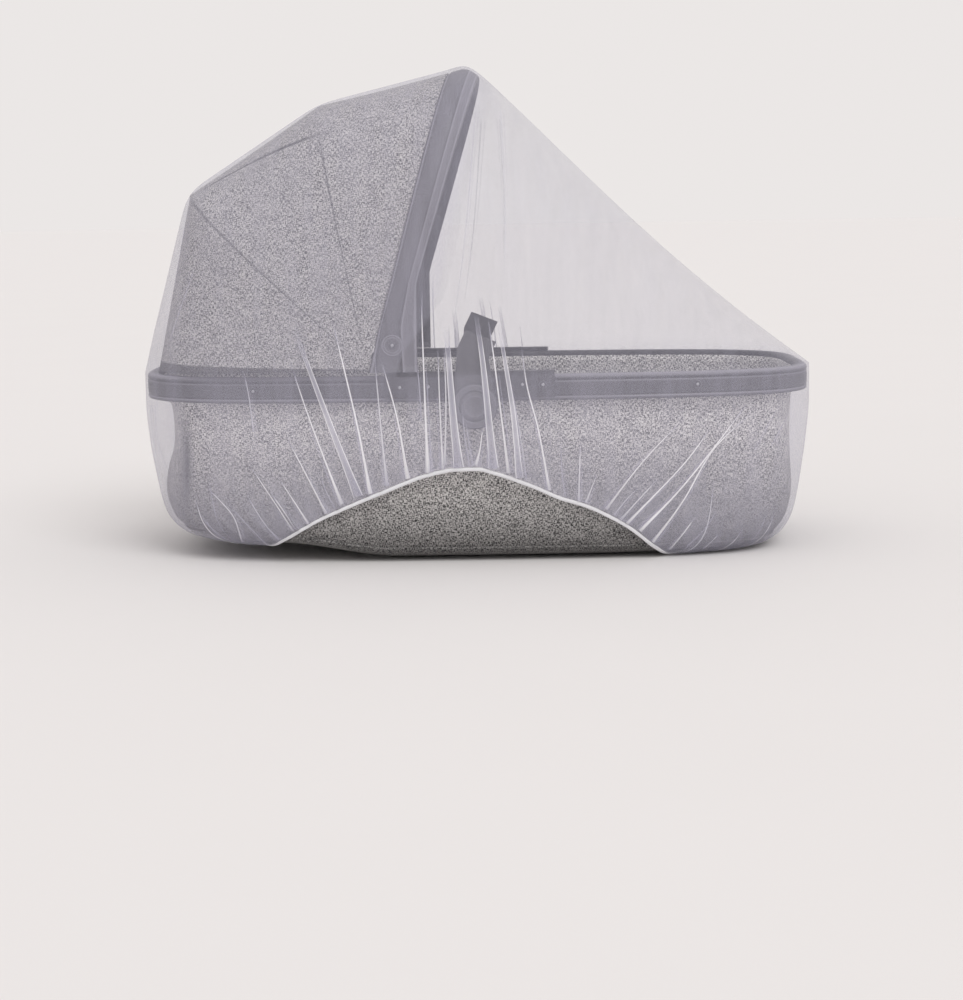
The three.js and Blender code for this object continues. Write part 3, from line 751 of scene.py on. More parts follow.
# Creases of the gathered net on the near side: a line of (x, z) places from the hem up, how
# wide it opens at the hem, how white it is, and whether it is a pleat with two edges
Crease = namedtuple("Crease", "line spread white pleat")
CREASES = (
    Crease(((-280, 14), (-300, 28), (-318, 52)), 2.0, 0.45, False),
    Crease(((-270, 18), (-277, 48), (-295, 71), (-312, 87)), 2.0, 0.60, False),
    Crease(((-296, 22), (-311, 40), (-322, 57)), 1.6, 0.40, False),
    Crease(((-240, 14), (-262, 40), (-284, 66)), 2.0, 0.45, False),
    Crease(((-225, 20), (-243, 44), (-262, 78)), 2.2, 0.50, False),
    Crease(((-209, 34), (-230, 70), (-256, 113)), 2.4, 0.70, False),
    Crease(((-206, 36), (-219, 58), (-233, 80)), 2.0, 0.60, False),
    Crease(((-191, 42), (-206, 68), (-223, 97)), 2.6, 0.70, False),
    Crease(((-170, 54), (-188, 94), (-211, 144)), 3.0, 0.70, False),
    Crease(((-160, 60), (-170, 82), (-176, 104)), 1.8, 0.45, False),
    Crease(((-152, 65), (-184, 163), (-205, 231)), 3.6, 0.75, False),
    Crease(((-133, 74), (-163, 162), (-197, 261)), 5.2, 0.80, True),
    Crease(((-119, 77), (-132, 162), (-156, 275)), 3.8, 0.85, False),
    Crease(((-100, 86), (-105, 162), (-110, 238)), 3.6, 0.60, False),
    Crease(((-76, 94), (-86, 164), (-102, 228)), 4.2, 0.85, False),
    Crease(((-53, 101), (-55, 215), (-56, 275), (-55, 305)), 4.4, 0.80, False),
    Crease(((-59, 160), (-60, 190), (-62, 225)), 0.8, 0.45, False),
    Crease(((-36, 104), (-38, 181), (-39, 243)), 3.2, 0.70, False),
    Crease(((-34, 104), (-31, 181), (-32, 243)), 3.0, 0.65, False),
    Crease(((-18, 106), (-23, 163), (-28, 243), (-30, 262)), 6.2, 0.80, True),
    Crease(((-6, 107), (-11, 145), (-13, 181)), 2.0, 0.45, False),
    Crease(((1, 108), (6, 126), (10, 154)), 4.0, 0.70, False),
    Crease(((-2, 107), (-6, 132), (-9, 160)), 2.0, 0.45, False),
    Crease(((21, 105), (12, 214), (4, 279)), 5.6, 0.80, True),
    Crease(((23, 104), (26, 124)), 3.0, 0.55, False),
    Crease(((38, 99), (23, 232), (17, 275)), 3.2, 0.80, False),
    Crease(((50, 93), (44, 167), (33, 243), (29, 268)), 4.4, 0.85, True),
    Crease(((58, 90), (52, 140), (42, 200)), 2.0, 0.50, False),
    Crease(((84, 78), (72, 148), (60, 197), (54, 242)), 3.0, 0.75, False),
    Crease(((102, 68), (98, 100), (97, 140)), 2.0, 0.40, False),
    Crease(((117, 62), (118, 96), (119, 133)), 2.8, 0.60, False),
    Crease(((124, 60), (131, 78), (138, 97)), 2.8, 0.60, False),
    Crease(((145, 51), (191, 111), (236, 158)), 3.2, 0.70, False),
    Crease(((156, 46), (172, 66), (186, 80)), 2.2, 0.50, False),
    Crease(((163, 40), (186, 66), (208, 90)), 3.0, 0.60, False),
    Crease(((172, 37), (236, 105), (270, 152)), 3.0, 0.80, False),
    Crease(((187, 28), (232, 75), (278, 133), (310, 175)), 3.0, 0.85, False),
    Crease(((202, 14), (236, 62), (270, 121), (316, 164)), 2.8, 0.80, False),
    Crease(((222, 4), (236, 22), (251, 43)), 2.2, 0.65, False),
    Crease(((240, 4), (262, 28), (276, 50)), 1.8, 0.40, False),
    Crease(((261, 2), (268, 9), (280, 22)), 2.0, 0.50, False),
    Crease(((338, 120), (350, 142), (361, 161)), 0.9, 0.35, False),
    Crease(((318, 118), (330, 140), (346, 168)), 0.9, 0.30, False),
    Crease(((-248, 150), (-252, 190), (-258, 222)), 0.9, 0.50, False),
    Crease(((-315, 329), (-333, 284), (-350, 239)), 0.9, 0.40, False),
    Crease(((-329, 377), (-336, 340), (-341, 305)), 0.9, 0.35, False),
    Crease(((-368, 176), (-366, 130), (-352, 90)), 1.0, 0.40, False),
    Crease(((-375, 172), (-374, 130), (-364, 84)), 1.0, 0.35, False),
    Crease(((6, 502), (-6, 371), (-20, 272)), 0.8, 0.25, False),
    Crease(((34, 504), (38, 400), (36, 320)), 0.8, 0.16, False),
)
CREASE_STEPS = 30
# Profiles over a crease: share of its half width, share of its rise, share of its whiteness
LINE_PROFILE = (
    (-1.0, 0.0, 0.0), (-0.5, 0.6, 0.95), (0.0, 1.0, 1.1), (0.5, 0.6, 0.95), (1.0, 0.0, 0.0),
)
PLEAT_PROFILE = (
    (-1.0, 0.0, 0.0),
    (-0.84, 0.8, 1.15),
    (-0.62, 0.9, 0.66),
    (0.0, 0.75, 0.56),
    (0.62, 0.9, 0.66),
    (0.84, 0.8, 1.15),
    (1.0, 0.0, 0.0),
)
LINE_HALF_WIDTH = 1.5  # of a crease away from the hem
LINE_TAPER = 0.4  # share of it that is lost on the way up
PLEAT_WIDTH = 0.85  # of a pleat away from the hem, in spreads
PLEAT_TAPER = 0.40
CREASE_OPENING = 9  # how fast a crease opens towards the hem
HEM_FLARE = 1.25  # its half width at the hem, in spreads
HEM_SHEERNESS = 0.3  # share of its whiteness that is lost where it opens
CREASE_RISE = 1.2
CREASE_SEAT = 0.15  # how far its edges stand off the sheet
CREASE_FADE = 4  # how late it fades at its upper end
FADE_POWER = 0.7


def crease_ribbon(surface, centres, crease, shape, rise=CREASE_RISE):
    """A crease along centres: a narrow raised fold of the net that opens towards the hem."""
    count = len(centres)
    profile = PLEAT_PROFILE if crease.pleat else LINE_PROFILE
    seats = []
    for place in centres:
        point, normal, _, _ = surface.find_nearest(Vector(place * MM))
        seats.append((np.array(point) / MM, np.array(normal)))
    grid = np.zeros((count, len(profile), 3))
    shade = np.zeros((count, len(profile)))
    for i, (point, normal) in enumerate(seats):
        ahead = seats[min(i + 1, count - 1)][0] - seats[max(i - 1, 0)][0]
        across = np.cross(ahead, normal)
        across /= max(np.linalg.norm(across), 1e-6)
        t = i / (count - 1)
        opened = math.exp(-t * CREASE_OPENING)
        narrow = LINE_HALF_WIDTH * (1 - LINE_TAPER * t)
        if crease.pleat:
            narrow = crease.spread * (PLEAT_WIDTH - PLEAT_TAPER * t)
        width = narrow + (HEM_FLARE * crease.spread - min(narrow, crease.spread)) * opened
        fade = min(1, (1 - t) * CREASE_FADE) ** FADE_POWER
        for j, (offset, high, white) in enumerate(profile):
            spot = point + across * offset * width
            on, face, _, _ = surface.find_nearest(Vector(spot * MM))
            stand = CREASE_SEAT + rise * high * (0.4 + 0.6 * opened) * fade
            grid[i, j] = np.array(on) / MM + normal * stand
            shade[i, j] = white * crease.white * fade * (1 - HEM_SHEERNESS * opened)
    shape.add_grid(grid, density=shade)


def side_places(surface, line, side, count):
    """Places on the net's near or far side under a line of (x, z)."""
    found = []
    for x, z in smooth_line(line, count):
        start = Vector((x * MM, side * 1.0, z * MM))
        point, _, _, _ = surface.ray_cast(start, Vector((0, -side, 0)))
        if point is not None:
            found.append(np.array(point) / MM)
    return np.array(found)


END_GATHERS = 26  # at each end
END_GATHERS_FROM = 40  # degrees round the outline at which they start
END_GATHERS_OVER = 100
END_GATHER_LENGTH = (70, 150)


def end_creases(surface, shape, chance):
    """Short gathers where the net turns under each end."""
    for end in (FOOT, HEAD):
        for number in range(END_GATHERS):
            share = (number + chance.uniform(-0.35, 0.35)) / (END_GATHERS - 1)
            hem = math.radians(END_GATHERS_FROM + END_GATHERS_OVER * share)
            full = float(hem_fall(end, np.array(hem)))
            reach = chance.uniform(*END_GATHER_LENGTH)
            falls = np.linspace(full - 1, full - reach, CREASE_STEPS)
            centres = skirt_point(end, hem, hem + chance.uniform(-0.02, 0.02), falls)
            crease = Crease((), chance.uniform(2.0, 3.6), chance.uniform(0.35, 0.7), False)
            crease_ribbon(surface, centres, crease, shape, rise=1.0)


# Each crease has a fainter, shorter one beside it
FAINT_WHITE = 0.45
FAINT_STEPS = CREASE_STEPS * 2 // 3
FAINT_ASIDE = (3, 5)
FAINT_CLOSING = 0.3  # share of that distance that is lost at each place of the line
FAR_SLIP = 3  # how far the far side's creases may stand from the near side's
LEAST_STEPS = 4


def side_creases(surface, shape, chance):
    """The creases of both sides, each with its fainter neighbour."""
    for side in (NEAR, FAR):
        for crease in CREASES:
            slip = chance.uniform(-FAR_SLIP, FAR_SLIP) if side == FAR else 0
            beside = chance.choice((-1, 1)) * chance.uniform(*FAINT_ASIDE)
            for step, white in ((0, 1.0), (beside, FAINT_WHITE)):
                line = [
                    (x + slip + step * (1 - FAINT_CLOSING * i), z)
                    for i, (x, z) in enumerate(crease.line)
                ]
                centres = side_places(surface, line, side, CREASE_STEPS)
                if step:
                    centres = centres[:FAINT_STEPS]
                if len(centres) > LEAST_STEPS:
                    pleat = crease.pleat and not step
                    drawn = crease._replace(white=crease.white * white, pleat=pleat)
                    crease_ribbon(surface, centres, drawn, shape)


def net_sheet():
    """The whole net: its skirt, its dome and the creases laid on them, in one piece."""
    skirt = net_skirt()
    columns = skirt.shape[1]
    foot_count = len(half_round(FOOT)[0])
    rim = skirt[0]
    foot_edge = rim[:foot_count]
    head_edge = rim[[-i % columns for i in range(foot_count)]]
    dome = net_dome(foot_edge, head_edge)
    share = np.linspace(0, 1, len(skirt))[:, None]
    skirt_density = NET_DENSITY + (HEM_DENSITY - NET_DENSITY) * share ** GATHER_POWER
    shape = Shape()
    shape.add_grid(skirt, ring=True, flip=True, density=skirt_density)
    hood_rows = sum(DOME_ROWS[:-1])
    rows = np.arange(len(dome))
    front = smoothstep(rows, hood_rows, hood_rows + FRONT_ROWS)
    front = front * (1 - smoothstep(rows, len(dome) - FRONT_ROWS, len(dome)))
    dome_density = NET_DENSITY + (FRONT_DENSITY - NET_DENSITY) * front[:, None]
    shape.add_grid(dome, flip=True, density=dome_density)
    surface = BVHTree.FromPolygons((np.array(shape.points) * MM).tolist(), shape.faces)
    chance = random.Random(7)
    side_creases(surface, shape, chance)
    end_creases(surface, shape, chance)
    return make_piece("mosquito_net", shape, NET_CLOTH, ["net_cover"], merge=0.01)


# The elastic at the hem

BAND_WIDTH = 4.4
BAND_THICK = 1.8
BAND_GAP = 0.6  # from the net's edge
BAND_LIFT = 0.6  # share of the net's crests that the band follows
BAND_FLOOR = FLOOR + 0.15
# Share of the band's width down the cloth, and of its thickness inwards
BAND_SECTION = (
    (0.0, 0.3), (0.12, 0.0), (0.5, -0.12), (0.88, 0.0), (1.0, 0.3),
    (1.0, 0.75), (0.88, 1.0), (0.12, 1.0), (0.0, 0.75),
)


def hem_band():
    """The white elastic sewn along the net's lower edge."""
    foot_hem, foot_rim = half_round(FOOT)
    head_hem, head_rim = half_round(HEAD)
    upper = []
    lower = []
    for end, rim, hem, keep in (
        (FOOT, foot_rim, foot_hem, slice(None)), (HEAD, head_rim, head_hem, slice(-2, 0, -1)),
    ):
        fall = hem_fall(end, hem)
        lift = gather_lift(end, hem, fall) * BAND_LIFT
        places = []
        for reach in (BAND_GAP, BAND_GAP + BAND_WIDTH):
            point = outline(
                end, hem, PROFILE["end_out"](fall + reach) + lift,
                PROFILE["side_out"](fall + reach) + lift, PROFILE["z"](fall + reach),
            )
            places.append(point[keep])
        upper.append(places[0])
        lower.append(places[1])
    upper = np.concatenate(upper)
    lower = np.concatenate(lower)
    down = lower - upper
    run = np.roll(upper, -1, axis=0) - np.roll(upper, 1, axis=0)
    inward = np.cross(run, down)
    inward /= np.linalg.norm(inward, axis=1)[:, None]
    grid = []
    for along, deep in BAND_SECTION:
        grid.append(upper + down * along + inward * deep * BAND_THICK)
    grid.append(grid[0])
    shape = Shape()
    rows = np.array(grid)
    rows[:, :, 2] = np.maximum(rows[:, :, 2], BAND_FLOOR)
    shape.add_grid(rows, ring=True)
    return make_piece("hem_elastic_band", shape, ELASTIC, ["hem_elastic"])


# The hood

HOOD_FOOT = (-117.9, 218)
HOOD_HALF = 203.6
HOOD_RIDGES = (
    ((-375, 212.5), 3.5),
    ((-330, 414.5), 3.2),
    ((-178, 514), 3.2),
    ((-28, 549.5), 3.2),
)
HOOD_SAG = (0, 1, 1)  # how far each panel draws in between two ribs
HOOD_RAISE = 3.5  # how far the cloth stands out above its feet, close under the net
HOOD_CENTRE = (-140, 0, 218)  # towards which the cloth draws in
HOOD_THICK = 2
HOOD_COLUMNS = 64
HOOD_STEPS = 12  # rows of a panel between its two ribs
SEAM_ANGLE = math.radians(57)
SEAM_TURN = (4, 10, -6, -6)  # degrees by which the seam leaves that angle, ridge by ridge
SEAM_REACH = 0.45  # radians over which the cloth beside it follows
SEAM_STEP = 0.0022  # share of the hood's width between the rows beside a seam
SEAM_HALF = 0.0026
SEAM_FAINT = 0.1  # how dark it is where it can hardly be seen
SEAM_SHOWS = (0.9, 1.2, 1.8, 2.1)  # ridges between which it shows
RIB_EDGE = 0.016  # share of a panel that a rib's ridge takes
RIB_DARK = 0.9
RIB_SIDE = (0.75, 1.15)  # radians from the foot between which a rib's line ends
SEAM_DENT = 0.9
EDGE_SHADE_BAND = 0.055  # share of the rear panel that the painted shade along the lower edge takes, over the gap above the rail
# how dark that painted shade is
EDGE_SHADE_DARK = 0.95


def near_values(places, width):
    """Steps from 0 to 1 with a close group of five at each of the given places."""
    even = np.linspace(0, 1, HOOD_COLUMNS + 1)
    base = [v for v in even if all(abs(v - p) > 2.2 * width for p in places)]
    extra = [p + d * width for p in places for d in (-2, -1, 0, 1, 2)]
    return np.array(sorted(base + extra))


def hood_inward(points):
    """Unit directions from points of the hood to its centre."""
    inward = np.array(HOOD_CENTRE) - points
    return inward / np.linalg.norm(inward, axis=1)[:, None]


def hood_point(across_share, along_share):
    """A point of the hood: across from foot to foot, along from the back to the bow."""
    angle = math.pi * across_share
    number = min(int(along_share), len(HOOD_SAG) - 1)
    t = along_share - number
    (top_a, power_a), (top_b, power_b) = HOOD_RIDGES[number], HOOD_RIDGES[number + 1]
    first = arch(angle, HOOD_FOOT, HOOD_HALF, top_a, power_a)
    second = arch(angle, HOOD_FOOT, HOOD_HALF, top_b, power_b)
    point = first * (1 - t) + second * t
    sag = 4 * t * (1 - t) * HOOD_SAG[number] - HOOD_RAISE * min(1, along_share)
    pull = sag * np.sin(angle) ** 0.7
    return point + hood_inward(point) * pull[:, None]


def seam_slant(across, along_share):
    """Shares across the hood, moved near the two side seams so that these run aslant."""
    turn = math.radians(float(np.interp(along_share, (0, 1, 2, 3), SEAM_TURN)))
    angle = math.pi * across
    near = np.exp(-((angle - SEAM_ANGLE) / SEAM_REACH) ** 2)
    far = np.exp(-((math.pi - angle - SEAM_ANGLE) / SEAM_REACH) ** 2)
    return np.clip((angle + turn * (near - far)) / math.pi, 0, 1)


def hood_rows():
    """Places of the hood's rows along it, close together at the painted shade of the lower edge, the
    ribs and the bow.
    """
    panels = len(HOOD_SAG)
    along = [0.0, 0.03, EDGE_SHADE_BAND - 0.001, EDGE_SHADE_BAND + 0.008]
    for number in range(panels):
        along += list(number + np.linspace(0.1, 0.9, HOOD_STEPS))
    for rib in range(1, panels):
        along += [rib + step * RIB_EDGE for step in (-3, -1, 0, 1, 3)]
    along += [panels - 0.06, panels - 0.03, panels]
    return sorted(along)


def hood_cover():
    """The hood's cloth, with its seams, its ribs' lines and painted shade along its lower edge, above
    the rail.
    """
    seams = (SEAM_ANGLE / math.pi, 1 - SEAM_ANGLE / math.pi)
    across = near_values(seams, SEAM_STEP)
    grid = []
    shade = []
    angle = math.pi * across
    side = 1 - smoothstep(np.minimum(angle, math.pi - angle), *RIB_SIDE)
    starts, full, fades, ends = SEAM_SHOWS
    for value in hood_rows():
        row = hood_point(seam_slant(across, value), value)
        marks = np.zeros(len(across))
        nearest = abs(value - round(value))
        if 0 < round(value) < len(HOOD_SAG) and nearest < RIB_EDGE / 2:
            marks = RIB_DARK * side
        shown = smoothstep(value, starts, full) * (1 - smoothstep(value, fades, ends))
        strength = SEAM_FAINT + (1 - SEAM_FAINT) * shown
        for seam in seams:
            marks = np.maximum(marks, np.where(np.abs(across - seam) < SEAM_HALF, strength, 0))
        dent = marks * SEAM_DENT
        # Painted shade: the lower edge darkened where the gap above the rail lies in shade
        if value < EDGE_SHADE_BAND:
            marks = np.full(len(across), EDGE_SHADE_DARK)
        grid.append(row + hood_inward(row) * dent[:, None])
        shade.append(marks)
    shape = Shape()
    shape.add_grid(grid, flip=True, density=np.array(shade))
    return make_piece(
        "hood_fabric", shape, HOOD_LINEN, ["hood_cloth"], thick=HOOD_THICK,
    )


# The front bow

BOW_FOOT_Z = 214.4
BOW_HALF = 205.6
BOW_THICK = 4.9
BOW_POWER = 3.2  # how square its arch is
BOW_INNER = (0.98, 0.85, 0.5, 0.15, 0.02)  # shares of its width on its inner face
# From the rear: foot (x), the least x, top (x, z), how far it stands out
BOW_LINES = (
    (-117.5, -118, (-27, 550.5), 0.0),
    (-104.7, -90, (-8, 557.2), 0.9),
    (-92, -62, (9, 548.5), 0.0),
)
# Profile over the bow's width from its rear edge: share of the width, how far it stands out,
# and how light it is, which is painted light: highlights on its edges and ridges, and its lit faces
# lighter than its turned-away ones
BOW_PROFILE = (
    (0.0, -1.6, 0.0), (0.02, -0.3, 0.1), (0.06, 0.2, 1.0), (0.10, 0.1, 0.3), (0.13, -0.4, 0.0),
    (0.17, 0.0, 0.2), (0.45, 0.3, 0.28), (0.63, 0.2, 0.2), (0.69, -0.5, 0.0), (0.72, 0.5, 1.0),
    (0.76, 0.2, 0.45), (0.93, -0.2, 0.35), (0.97, -0.5, 1.0), (1.0, -1.8, 0.1),
)
BOW_STEPS = 110


def bow_arch(foot_x, least_x, top, out, less):
    """One arch of the bow; it stands out or in, and no point lies behind least_x."""
    angle = np.linspace(0, math.pi, BOW_STEPS + 1)
    line = arch(angle, (foot_x, BOW_FOOT_Z), BOW_HALF + out - less, (top[0], top[1] - less), BOW_POWER)
    line[:, 0] = np.maximum(line[:, 0], least_x)
    return line


def bow_line(share, out):
    """The arch at a share of the bow's width, through its rear, middle and front lines."""
    rear, crown, front = (
        bow_arch(foot, least, top, bulge + out, 0) for foot, least, top, bulge in BOW_LINES
    )
    rear_part = 2 * (share - 0.5) * (share - 1)
    crown_part = 4 * share * (1 - share)
    front_part = 2 * share * (share - 0.5)
    return rear * rear_part + crown * crown_part + front * front_part


def front_bow():
    """The moulded bow: a grooved outer face and a plain inner one, closed at both feet."""
    rows = [bow_line(share, out) for share, out, _ in BOW_PROFILE]
    light = [value for _, _, value in BOW_PROFILE]
    inner = []
    for share in BOW_INNER:
        rear, front = BOW_LINES[0], BOW_LINES[2]
        first = bow_arch(*rear[:3], 0, BOW_THICK)
        second = bow_arch(*front[:3], 0, BOW_THICK)
        inner.append(first * (1 - share) + second * share)
    rows += inner
    rows.append(rows[0])
    light += [0] * len(inner) + [light[0]]
    grid = np.array(rows)
    shape = Shape()
    start = shape.add_grid(grid, density=np.array(light)[:, None])
    columns = grid.shape[1]
    ring = [start + row * columns for row in range(len(rows) - 1)]
    shape.add_face(ring[::-1])
    shape.add_face([index + columns - 1 for index in ring])
    return make_piece("hood_front_bow", shape, PLASTIC, ["front_bow"])


# The rail round the rim

# Section of the rail: how far inside its outline, its height, and how light it is, which is a painted
# highlight along its edges and lips
RAIL_SECTION = (
    (0.9, 207.1, 0.6), (0.2, 206.1, 0.3), (0.0, 205.1, 0.1), (0.1, 204.1, 0.0), (1.3, 203.4, 0.0),
    (1.3, 202.4, 0.0), (0.3, 201.6, 0.6), (0.0, 200.2, 0.15), (0.0, 198.5, 0.1), (0.0, 190.0, 0.1),
    (0.2, 186.8, 0.2), (1.3, 186.0, 0.0), (1.3, 185.0, 0.0), (0.2, 184.2, 0.9), (0.0, 182.4, 0.3),
    (0.8, 180.8, 0.1), (3.0, 180.0, 0.0), (14.0, 180.0, 0.0), (14.0, 206.1, 0.0), (13.2, 208.3, 0.0),
    (11.0, 209.4, 0.2), (6.0, 209.5, 0.5), (3.0, 209.1, 1.0),
)
RING_STEPS = 300


def ring_points(inset, z, foot_inset=None, head_inset=None):
    """A ring round the cot, inside its outline; its ends may stand further in than its sides."""
    foot_inset = inset if foot_inset is None else foot_inset
    head_inset = inset if head_inset is None else head_inset
    turn = np.linspace(0, 2 * math.pi, RING_STEPS, endpoint=False)
    foot = outline(FOOT, np.minimum(turn, math.pi), -foot_inset, -inset, z)
    head = outline(HEAD, 2 * math.pi - np.maximum(turn, math.pi), -head_inset, -inset, z)
    return np.where((turn <= math.pi)[:, None], foot, head)


def rim_rail():
    """The moulded rail: its grooved section taken once round the cot."""
    section = (*RAIL_SECTION, RAIL_SECTION[0])
    rows = [ring_points(inset, z) for inset, z, _ in section]
    light = [value for _, _, value in section]
    shape = Shape()
    shape.add_grid(np.array(rows), ring=True, density=np.array(light)[:, None])
    return make_piece("moulded_rim_rail", shape, PLASTIC, ["rim_rail"])


# The tub

# Height, and how far inside the rail's outline at the sides, the foot end and the head end
TUB_SECTION = (
    (203, 14.3, 14.3, 14.3), (182, 14.3, 14.3, 14.3), (170, 14.3, 18.3, 26.3),
    (125, 14.3, 18.3, 26.3), (92, 14.3, 16.3, 18), (60, 15.5, 15.5, 15.5), (33, 17.5, 22, 22),
    (17, 20.5, 31.5, 31.5), (6, 27, 46, 46), (0.8, 35, 62, 62), (-2.6, 48, 84, 84),
    (-3.7, 70, 150, 150), (FLOOR + 0.1, 84, 172, 172),
)
TUB_THICK = 2.5
TUB_ROWS = 46
TUB_SLACK = 1.6  # how far its cloth draws in, half way up
TUB_WAVES = 7
TUB_WAVE_SHARE = 0.6
TUB_WAVE_LEAN = 0.012  # how much a wave leans, in radians to a millimetre of height
SLACK_FROM = 25  # height at which the cloth starts to draw in
SLACK_OVER = 150
SLACK_POWER = 1.2
END_DRAW = 0.35  # how much less it draws in along the cot than across
TUB_CREASE = {"x": 338, "half": 6, "deep": 3, "dark": 1.0}  # near fold beside the head end: a trough, darkened with painted shade
PIPING = {"z": 9.5, "inset": 23.5, "end_inset": 38.5, "radius": 1.6}
PIPING_STEPS = 8  # round the cord


def tub_shell():
    """The soft-sided tub: one shell, a little slack between its rail and its base."""
    line = smooth_line(TUB_SECTION, TUB_ROWS)
    chance = random.Random(21)
    waves = [
        (chance.uniform(2, 9), chance.uniform(0, 6.28), chance.uniform(0.3, 0.8))
        for _ in range(TUB_WAVES)
    ]
    turn = np.linspace(0, 2 * math.pi, RING_STEPS, endpoint=False)
    rows = []
    shades = []
    for z, *insets in line:
        ring = ring_points(insets[0], z, insets[1], insets[2])
        slack = np.sin(math.pi * np.clip((z - SLACK_FROM) / SLACK_OVER, 0, 1)) ** SLACK_POWER
        draw = sum(
            size * np.sin(number * turn + phase + z * TUB_WAVE_LEAN)
            for number, phase, size in waves
        )
        corner = np.exp(-((ring[:, 0] + TUB_CREASE["x"]) / TUB_CREASE["half"]) ** 2)
        corner = corner * (ring[:, 1] < 0)
        inward = (draw * TUB_WAVE_SHARE + TUB_SLACK + corner * TUB_CREASE["deep"]) * slack
        # painted shade in that fold
        shades.append(TUB_CREASE["dark"] * corner * slack)
        centre = np.array([0, 0, z])
        reach = centre - ring
        reach[:, 0] *= END_DRAW
        reach /= np.maximum(np.linalg.norm(reach, axis=1), 1)[:, None]
        rows.append(ring + reach * inward[:, None])
    rows = np.array(rows)
    shape = Shape()
    shape.add_grid(rows, ring=True, flip=True, density=np.array(shades))
    floor = len(shape.points) - RING_STEPS
    for start in (0, RING_STEPS // 2):
        for step in range(RING_STEPS // 4):
            here = start + step
            across = start + RING_STEPS // 2 - step
            strip = [here + 1, across - 1, across % RING_STEPS, here]
            shape.add_face(floor + k for k in dict.fromkeys(strip))
    return make_piece(
        "tub_fabric", shape, TUB_LINEN, ["cot_tub"], thick=TUB_THICK,
    )


def tub_piping():
    """The corded seam where the tub's sides meet its base."""
    rows = []
    for step in range(PIPING_STEPS + 1):
        turn = 2 * math.pi * step / PIPING_STEPS
        out = PIPING["radius"] * math.cos(turn)
        rows.append(ring_points(
            PIPING["inset"] - out,
            PIPING["z"] + PIPING["radius"] * math.sin(turn),
            PIPING["end_inset"] - out,
            PIPING["end_inset"] - out,
        ))
    shape = Shape()
    shape.add_grid(np.array(rows), ring=True)
    return make_piece("tub_piping", shape, TUB_LINEN)


# Small fittings of the rail

# Rivets on each side: place along the cot, height, and whether it sits in a ring
RIVETS = (
    (-249, 194.3, True), (-83, 197, False), (-50.8, 197.4, False), (54.8, 198.5, False),
    (77.9, 198.3, True), (252.6, 195, True),
)
# Turned forms: radius, how far it stands out, and how light it is, which is a painted highlight on its
# rims
RIVET_HEAD = ((0.0, 1.1, 0), (0.9, 1.05, 0), (1.5, 0.7, 0), (1.8, 0.2, 0), (1.9, -0.4, 0))
RIVET_RING = ((2.2, 0.1, 0.0), (2.7, 0.4, 0.0), (3.7, 0.4, 0.0), (4.3, 0.3, 0.9), (4.6, -0.4, 0.0))
ROUND_STEPS = 28


def turned(profile, x, z, face, side):
    """A turned form on one side of the cot: profile is (radius, how far it stands out)."""
    angle = np.linspace(0, 2 * math.pi, ROUND_STEPS, endpoint=False)
    rows = []
    for radius, out in profile:
        ring = np.stack([
            x + radius * np.cos(angle),
            np.full(ROUND_STEPS, side * (face + out)),
            z + radius * np.sin(angle),
        ], axis=-1)
        rows.append(ring)
    return np.array(rows)


def side_face(x, z):
    """How far out the hard surface stands at a rivet."""
    if PLATE_LOW[0] < x < PLATE_HIGH[0]:
        return -PLATE_LOW[1]
    end = FOOT if x > PIVOT_X else HEAD
    return -float(outline(end, angle_at_x(end, x), 0, 0, z)[1])


PLATE_LOW, PLATE_HIGH = box_mm("side_plate_near")
BOSS_LOW, BOSS_HIGH = box_mm("adaptor_boss_near")
DISC_LOW, DISC_HIGH = box_mm("hinge_disc_near")
BOSS_TURNING = (
    (0.0, -0.6, 0.2), (11.0, -0.6, 0.25), (11.5, -0.3, 0.7), (12.3, -0.3, 0.5), (12.8, -0.6, 0.25),
    (16.0, -0.6, 0.25), (16.4, -1.4, 0.0), (18.0, -1.4, 0.0), (18.4, -0.1, 0.8), (19.2, 0.0, 0.4),
    (23.0, 0.0, 0.3), (23.8, 0.0, 0.8), (24.4, -0.2, 0.3), (24.7, -1.1, 0.0), (26.0, -1.2, 0.0),
    (26.0, -1.8, 0.0),
)
CAP_FACE = 0.5  # how far the middle of a hinge cap stands out, where its rivet sits
DISC_TURNING = (
    (0.0, CAP_FACE, 0.2), (1.8, 0.4, 0.2), (2.6, 0.1, 0.0), (3.0, -0.3, 0.15), (7.6, -0.3, 0.25),
    (8.2, 0.1, 0.7), (9.6, 0.15, 0.45), (10.2, -0.3, 0.0), (10.8, 0.0, 0.9), (11.6, -0.1, 0.9),
    (12.0, -0.5, 0.2), (12.0, -1.4, 0.0),
)


def add_turned(shape, profile, x, z, face, side):
    """A turned form on one side of the cot, with its own painted highlights."""
    light = np.array([value for _, _, value in profile])[:, None]
    places = [(radius, out) for radius, out, _ in profile]
    shape.add_grid(turned(places, x, z, face, side), ring=True, flip=side == FAR, density=light)


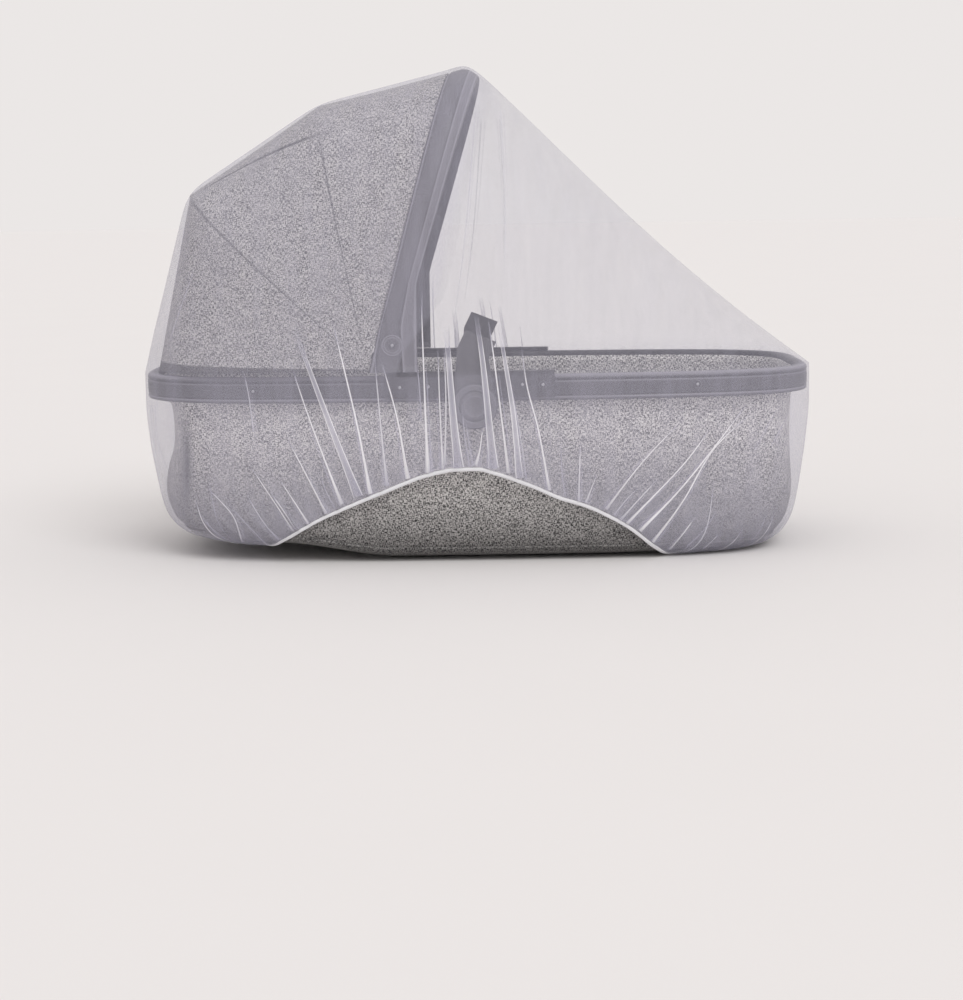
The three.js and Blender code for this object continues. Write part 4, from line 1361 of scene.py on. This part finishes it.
def fittings():
    """Rivets with their rings, and the turned caps and bosses, on both sides."""
    rivets = Shape()
    rings = Shape()
    for x, z, ringed in RIVETS:
        for side in (NEAR, FAR):
            add_turned(rivets, RIVET_HEAD, x, z, side_face(x, z), side)
            if ringed:
                add_turned(rings, RIVET_RING, x, z, side_face(x, z), side)
    disc_x, _, disc_z = (DISC_LOW + DISC_HIGH) / 2
    boss_x, _, boss_z = (BOSS_LOW + BOSS_HIGH) / 2
    for side, word in ((NEAR, "near"), (FAR, "far")):
        boss = Shape()
        add_turned(boss, BOSS_TURNING, boss_x, boss_z, -BOSS_LOW[1], side)
        make_piece(
            f"turned_boss_{word}", boss, ARM_PLASTIC, [f"adaptor_boss_{word}"],
        )
        disc = Shape()
        add_turned(disc, DISC_TURNING, disc_x, disc_z, -DISC_LOW[1], side)
        make_piece(
            f"turned_hinge_cap_{word}", disc, PLASTIC, [f"hinge_disc_{word}"],
        )
        add_turned(rivets, RIVET_HEAD, disc_x, disc_z, -DISC_LOW[1] + CAP_FACE, side)
    make_piece("rail_rivets", rivets, METAL, merge=0.005)
    make_piece("rivet_rings", rings, PLASTIC, merge=0.005)


SOFT_EDGE = 0.5


def dress_frame_nodes():
    """Softened edges and a finish for the moulded pieces that the frame shows itself."""
    for name in (
        "side_plate_near", "side_plate_far", "adaptor_arm_near", "adaptor_arm_far",
        "hood_rib_mid", "hood_rib_rear",
    ):
        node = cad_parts[name]
        node.data.materials.clear()
        node.data.materials.append(ARM_PLASTIC if name.startswith("adaptor") else PLASTIC)
        bevel = node.modifiers.new("soft_edges", "BEVEL")
        bevel.width = SOFT_EDGE * MM
        bevel.segments = 2
        bevel.limit_method = "ANGLE"
        bevel.angle_limit = math.radians(35)
        for polygon in node.data.polygons:
            polygon.use_smooth = False


# The studio

FLOOR_TONE = (0.78, 0.765, 0.76)
FLOOR_MOTTLE = 0.985  # how much darker its darker places are
FLOOR_HALF = 40  # metres
FLOOR_DROP = 0.0003  # how far below the part it lies, in metres
SKY_TONE = (0.83, 0.80, 0.79)
KEY_FROM = (0.35, -0.62, 0.72)
KEY_ENERGY = 1.1
KEY_SPREAD = math.radians(35)
NET_LAYERS = 48  # see-through surfaces that one ray may cross
LIGHT_BOUNCES = 8


def floor():
    """Plain pale paper, far wider than the picture."""
    corners = [
        (x * FLOOR_HALF, y * FLOOR_HALF, -FLOOR_DROP) for x, y in ((-1, -1), (1, -1), (1, 1), (-1, 1))
    ]
    mesh = bpy.data.meshes.new("studio_floor")
    mesh.from_pydata(corners, [], [(0, 1, 2, 3)])
    material, tree, shader = new_material("floor_paper", 0.9, 0.1)
    mottle = noise_node(tree, object_place(tree), 3.0, 3.0)
    tone = mix_colours(tree, mottle, tuple(FLOOR_MOTTLE * c for c in FLOOR_TONE), FLOOR_TONE)
    tree.links.new(tone, shader.inputs["Base Color"])
    mesh.materials.append(material)
    plane = bpy.data.objects.new("studio_floor", mesh)
    bpy.context.scene.collection.objects.link(plane)


def studio_light():
    """An even pale sky and one broad soft lamp from the near side."""
    world = bpy.data.worlds.new("studio")
    world.use_nodes = True
    sky = world.node_tree.nodes["Background"]
    sky.inputs["Color"].default_value = (*SKY_TONE, 1)
    sky.inputs["Strength"].default_value = 1.0
    scene = bpy.context.scene
    scene.world = world
    sun = bpy.data.lights.new("soft_key", "SUN")
    sun.energy = KEY_ENERGY
    sun.angle = KEY_SPREAD
    lamp = bpy.data.objects.new("soft_key", sun)
    lamp.rotation_euler = Vector(KEY_FROM).to_track_quat("Z", "Y").to_euler()
    scene.collection.objects.link(lamp)
    scene.view_settings.view_transform = "Standard"
    scene.view_settings.look = "None"
    scene.cycles.transparent_max_bounces = NET_LAYERS
    scene.cycles.max_bounces = LIGHT_BOUNCES


floor()
studio_light()
net = net_sheet()
band = hem_band()
hood = hood_cover()
front_bow()
rim_rail()
tub_shell()
tub_piping()
fittings()
dress_frame_nodes()
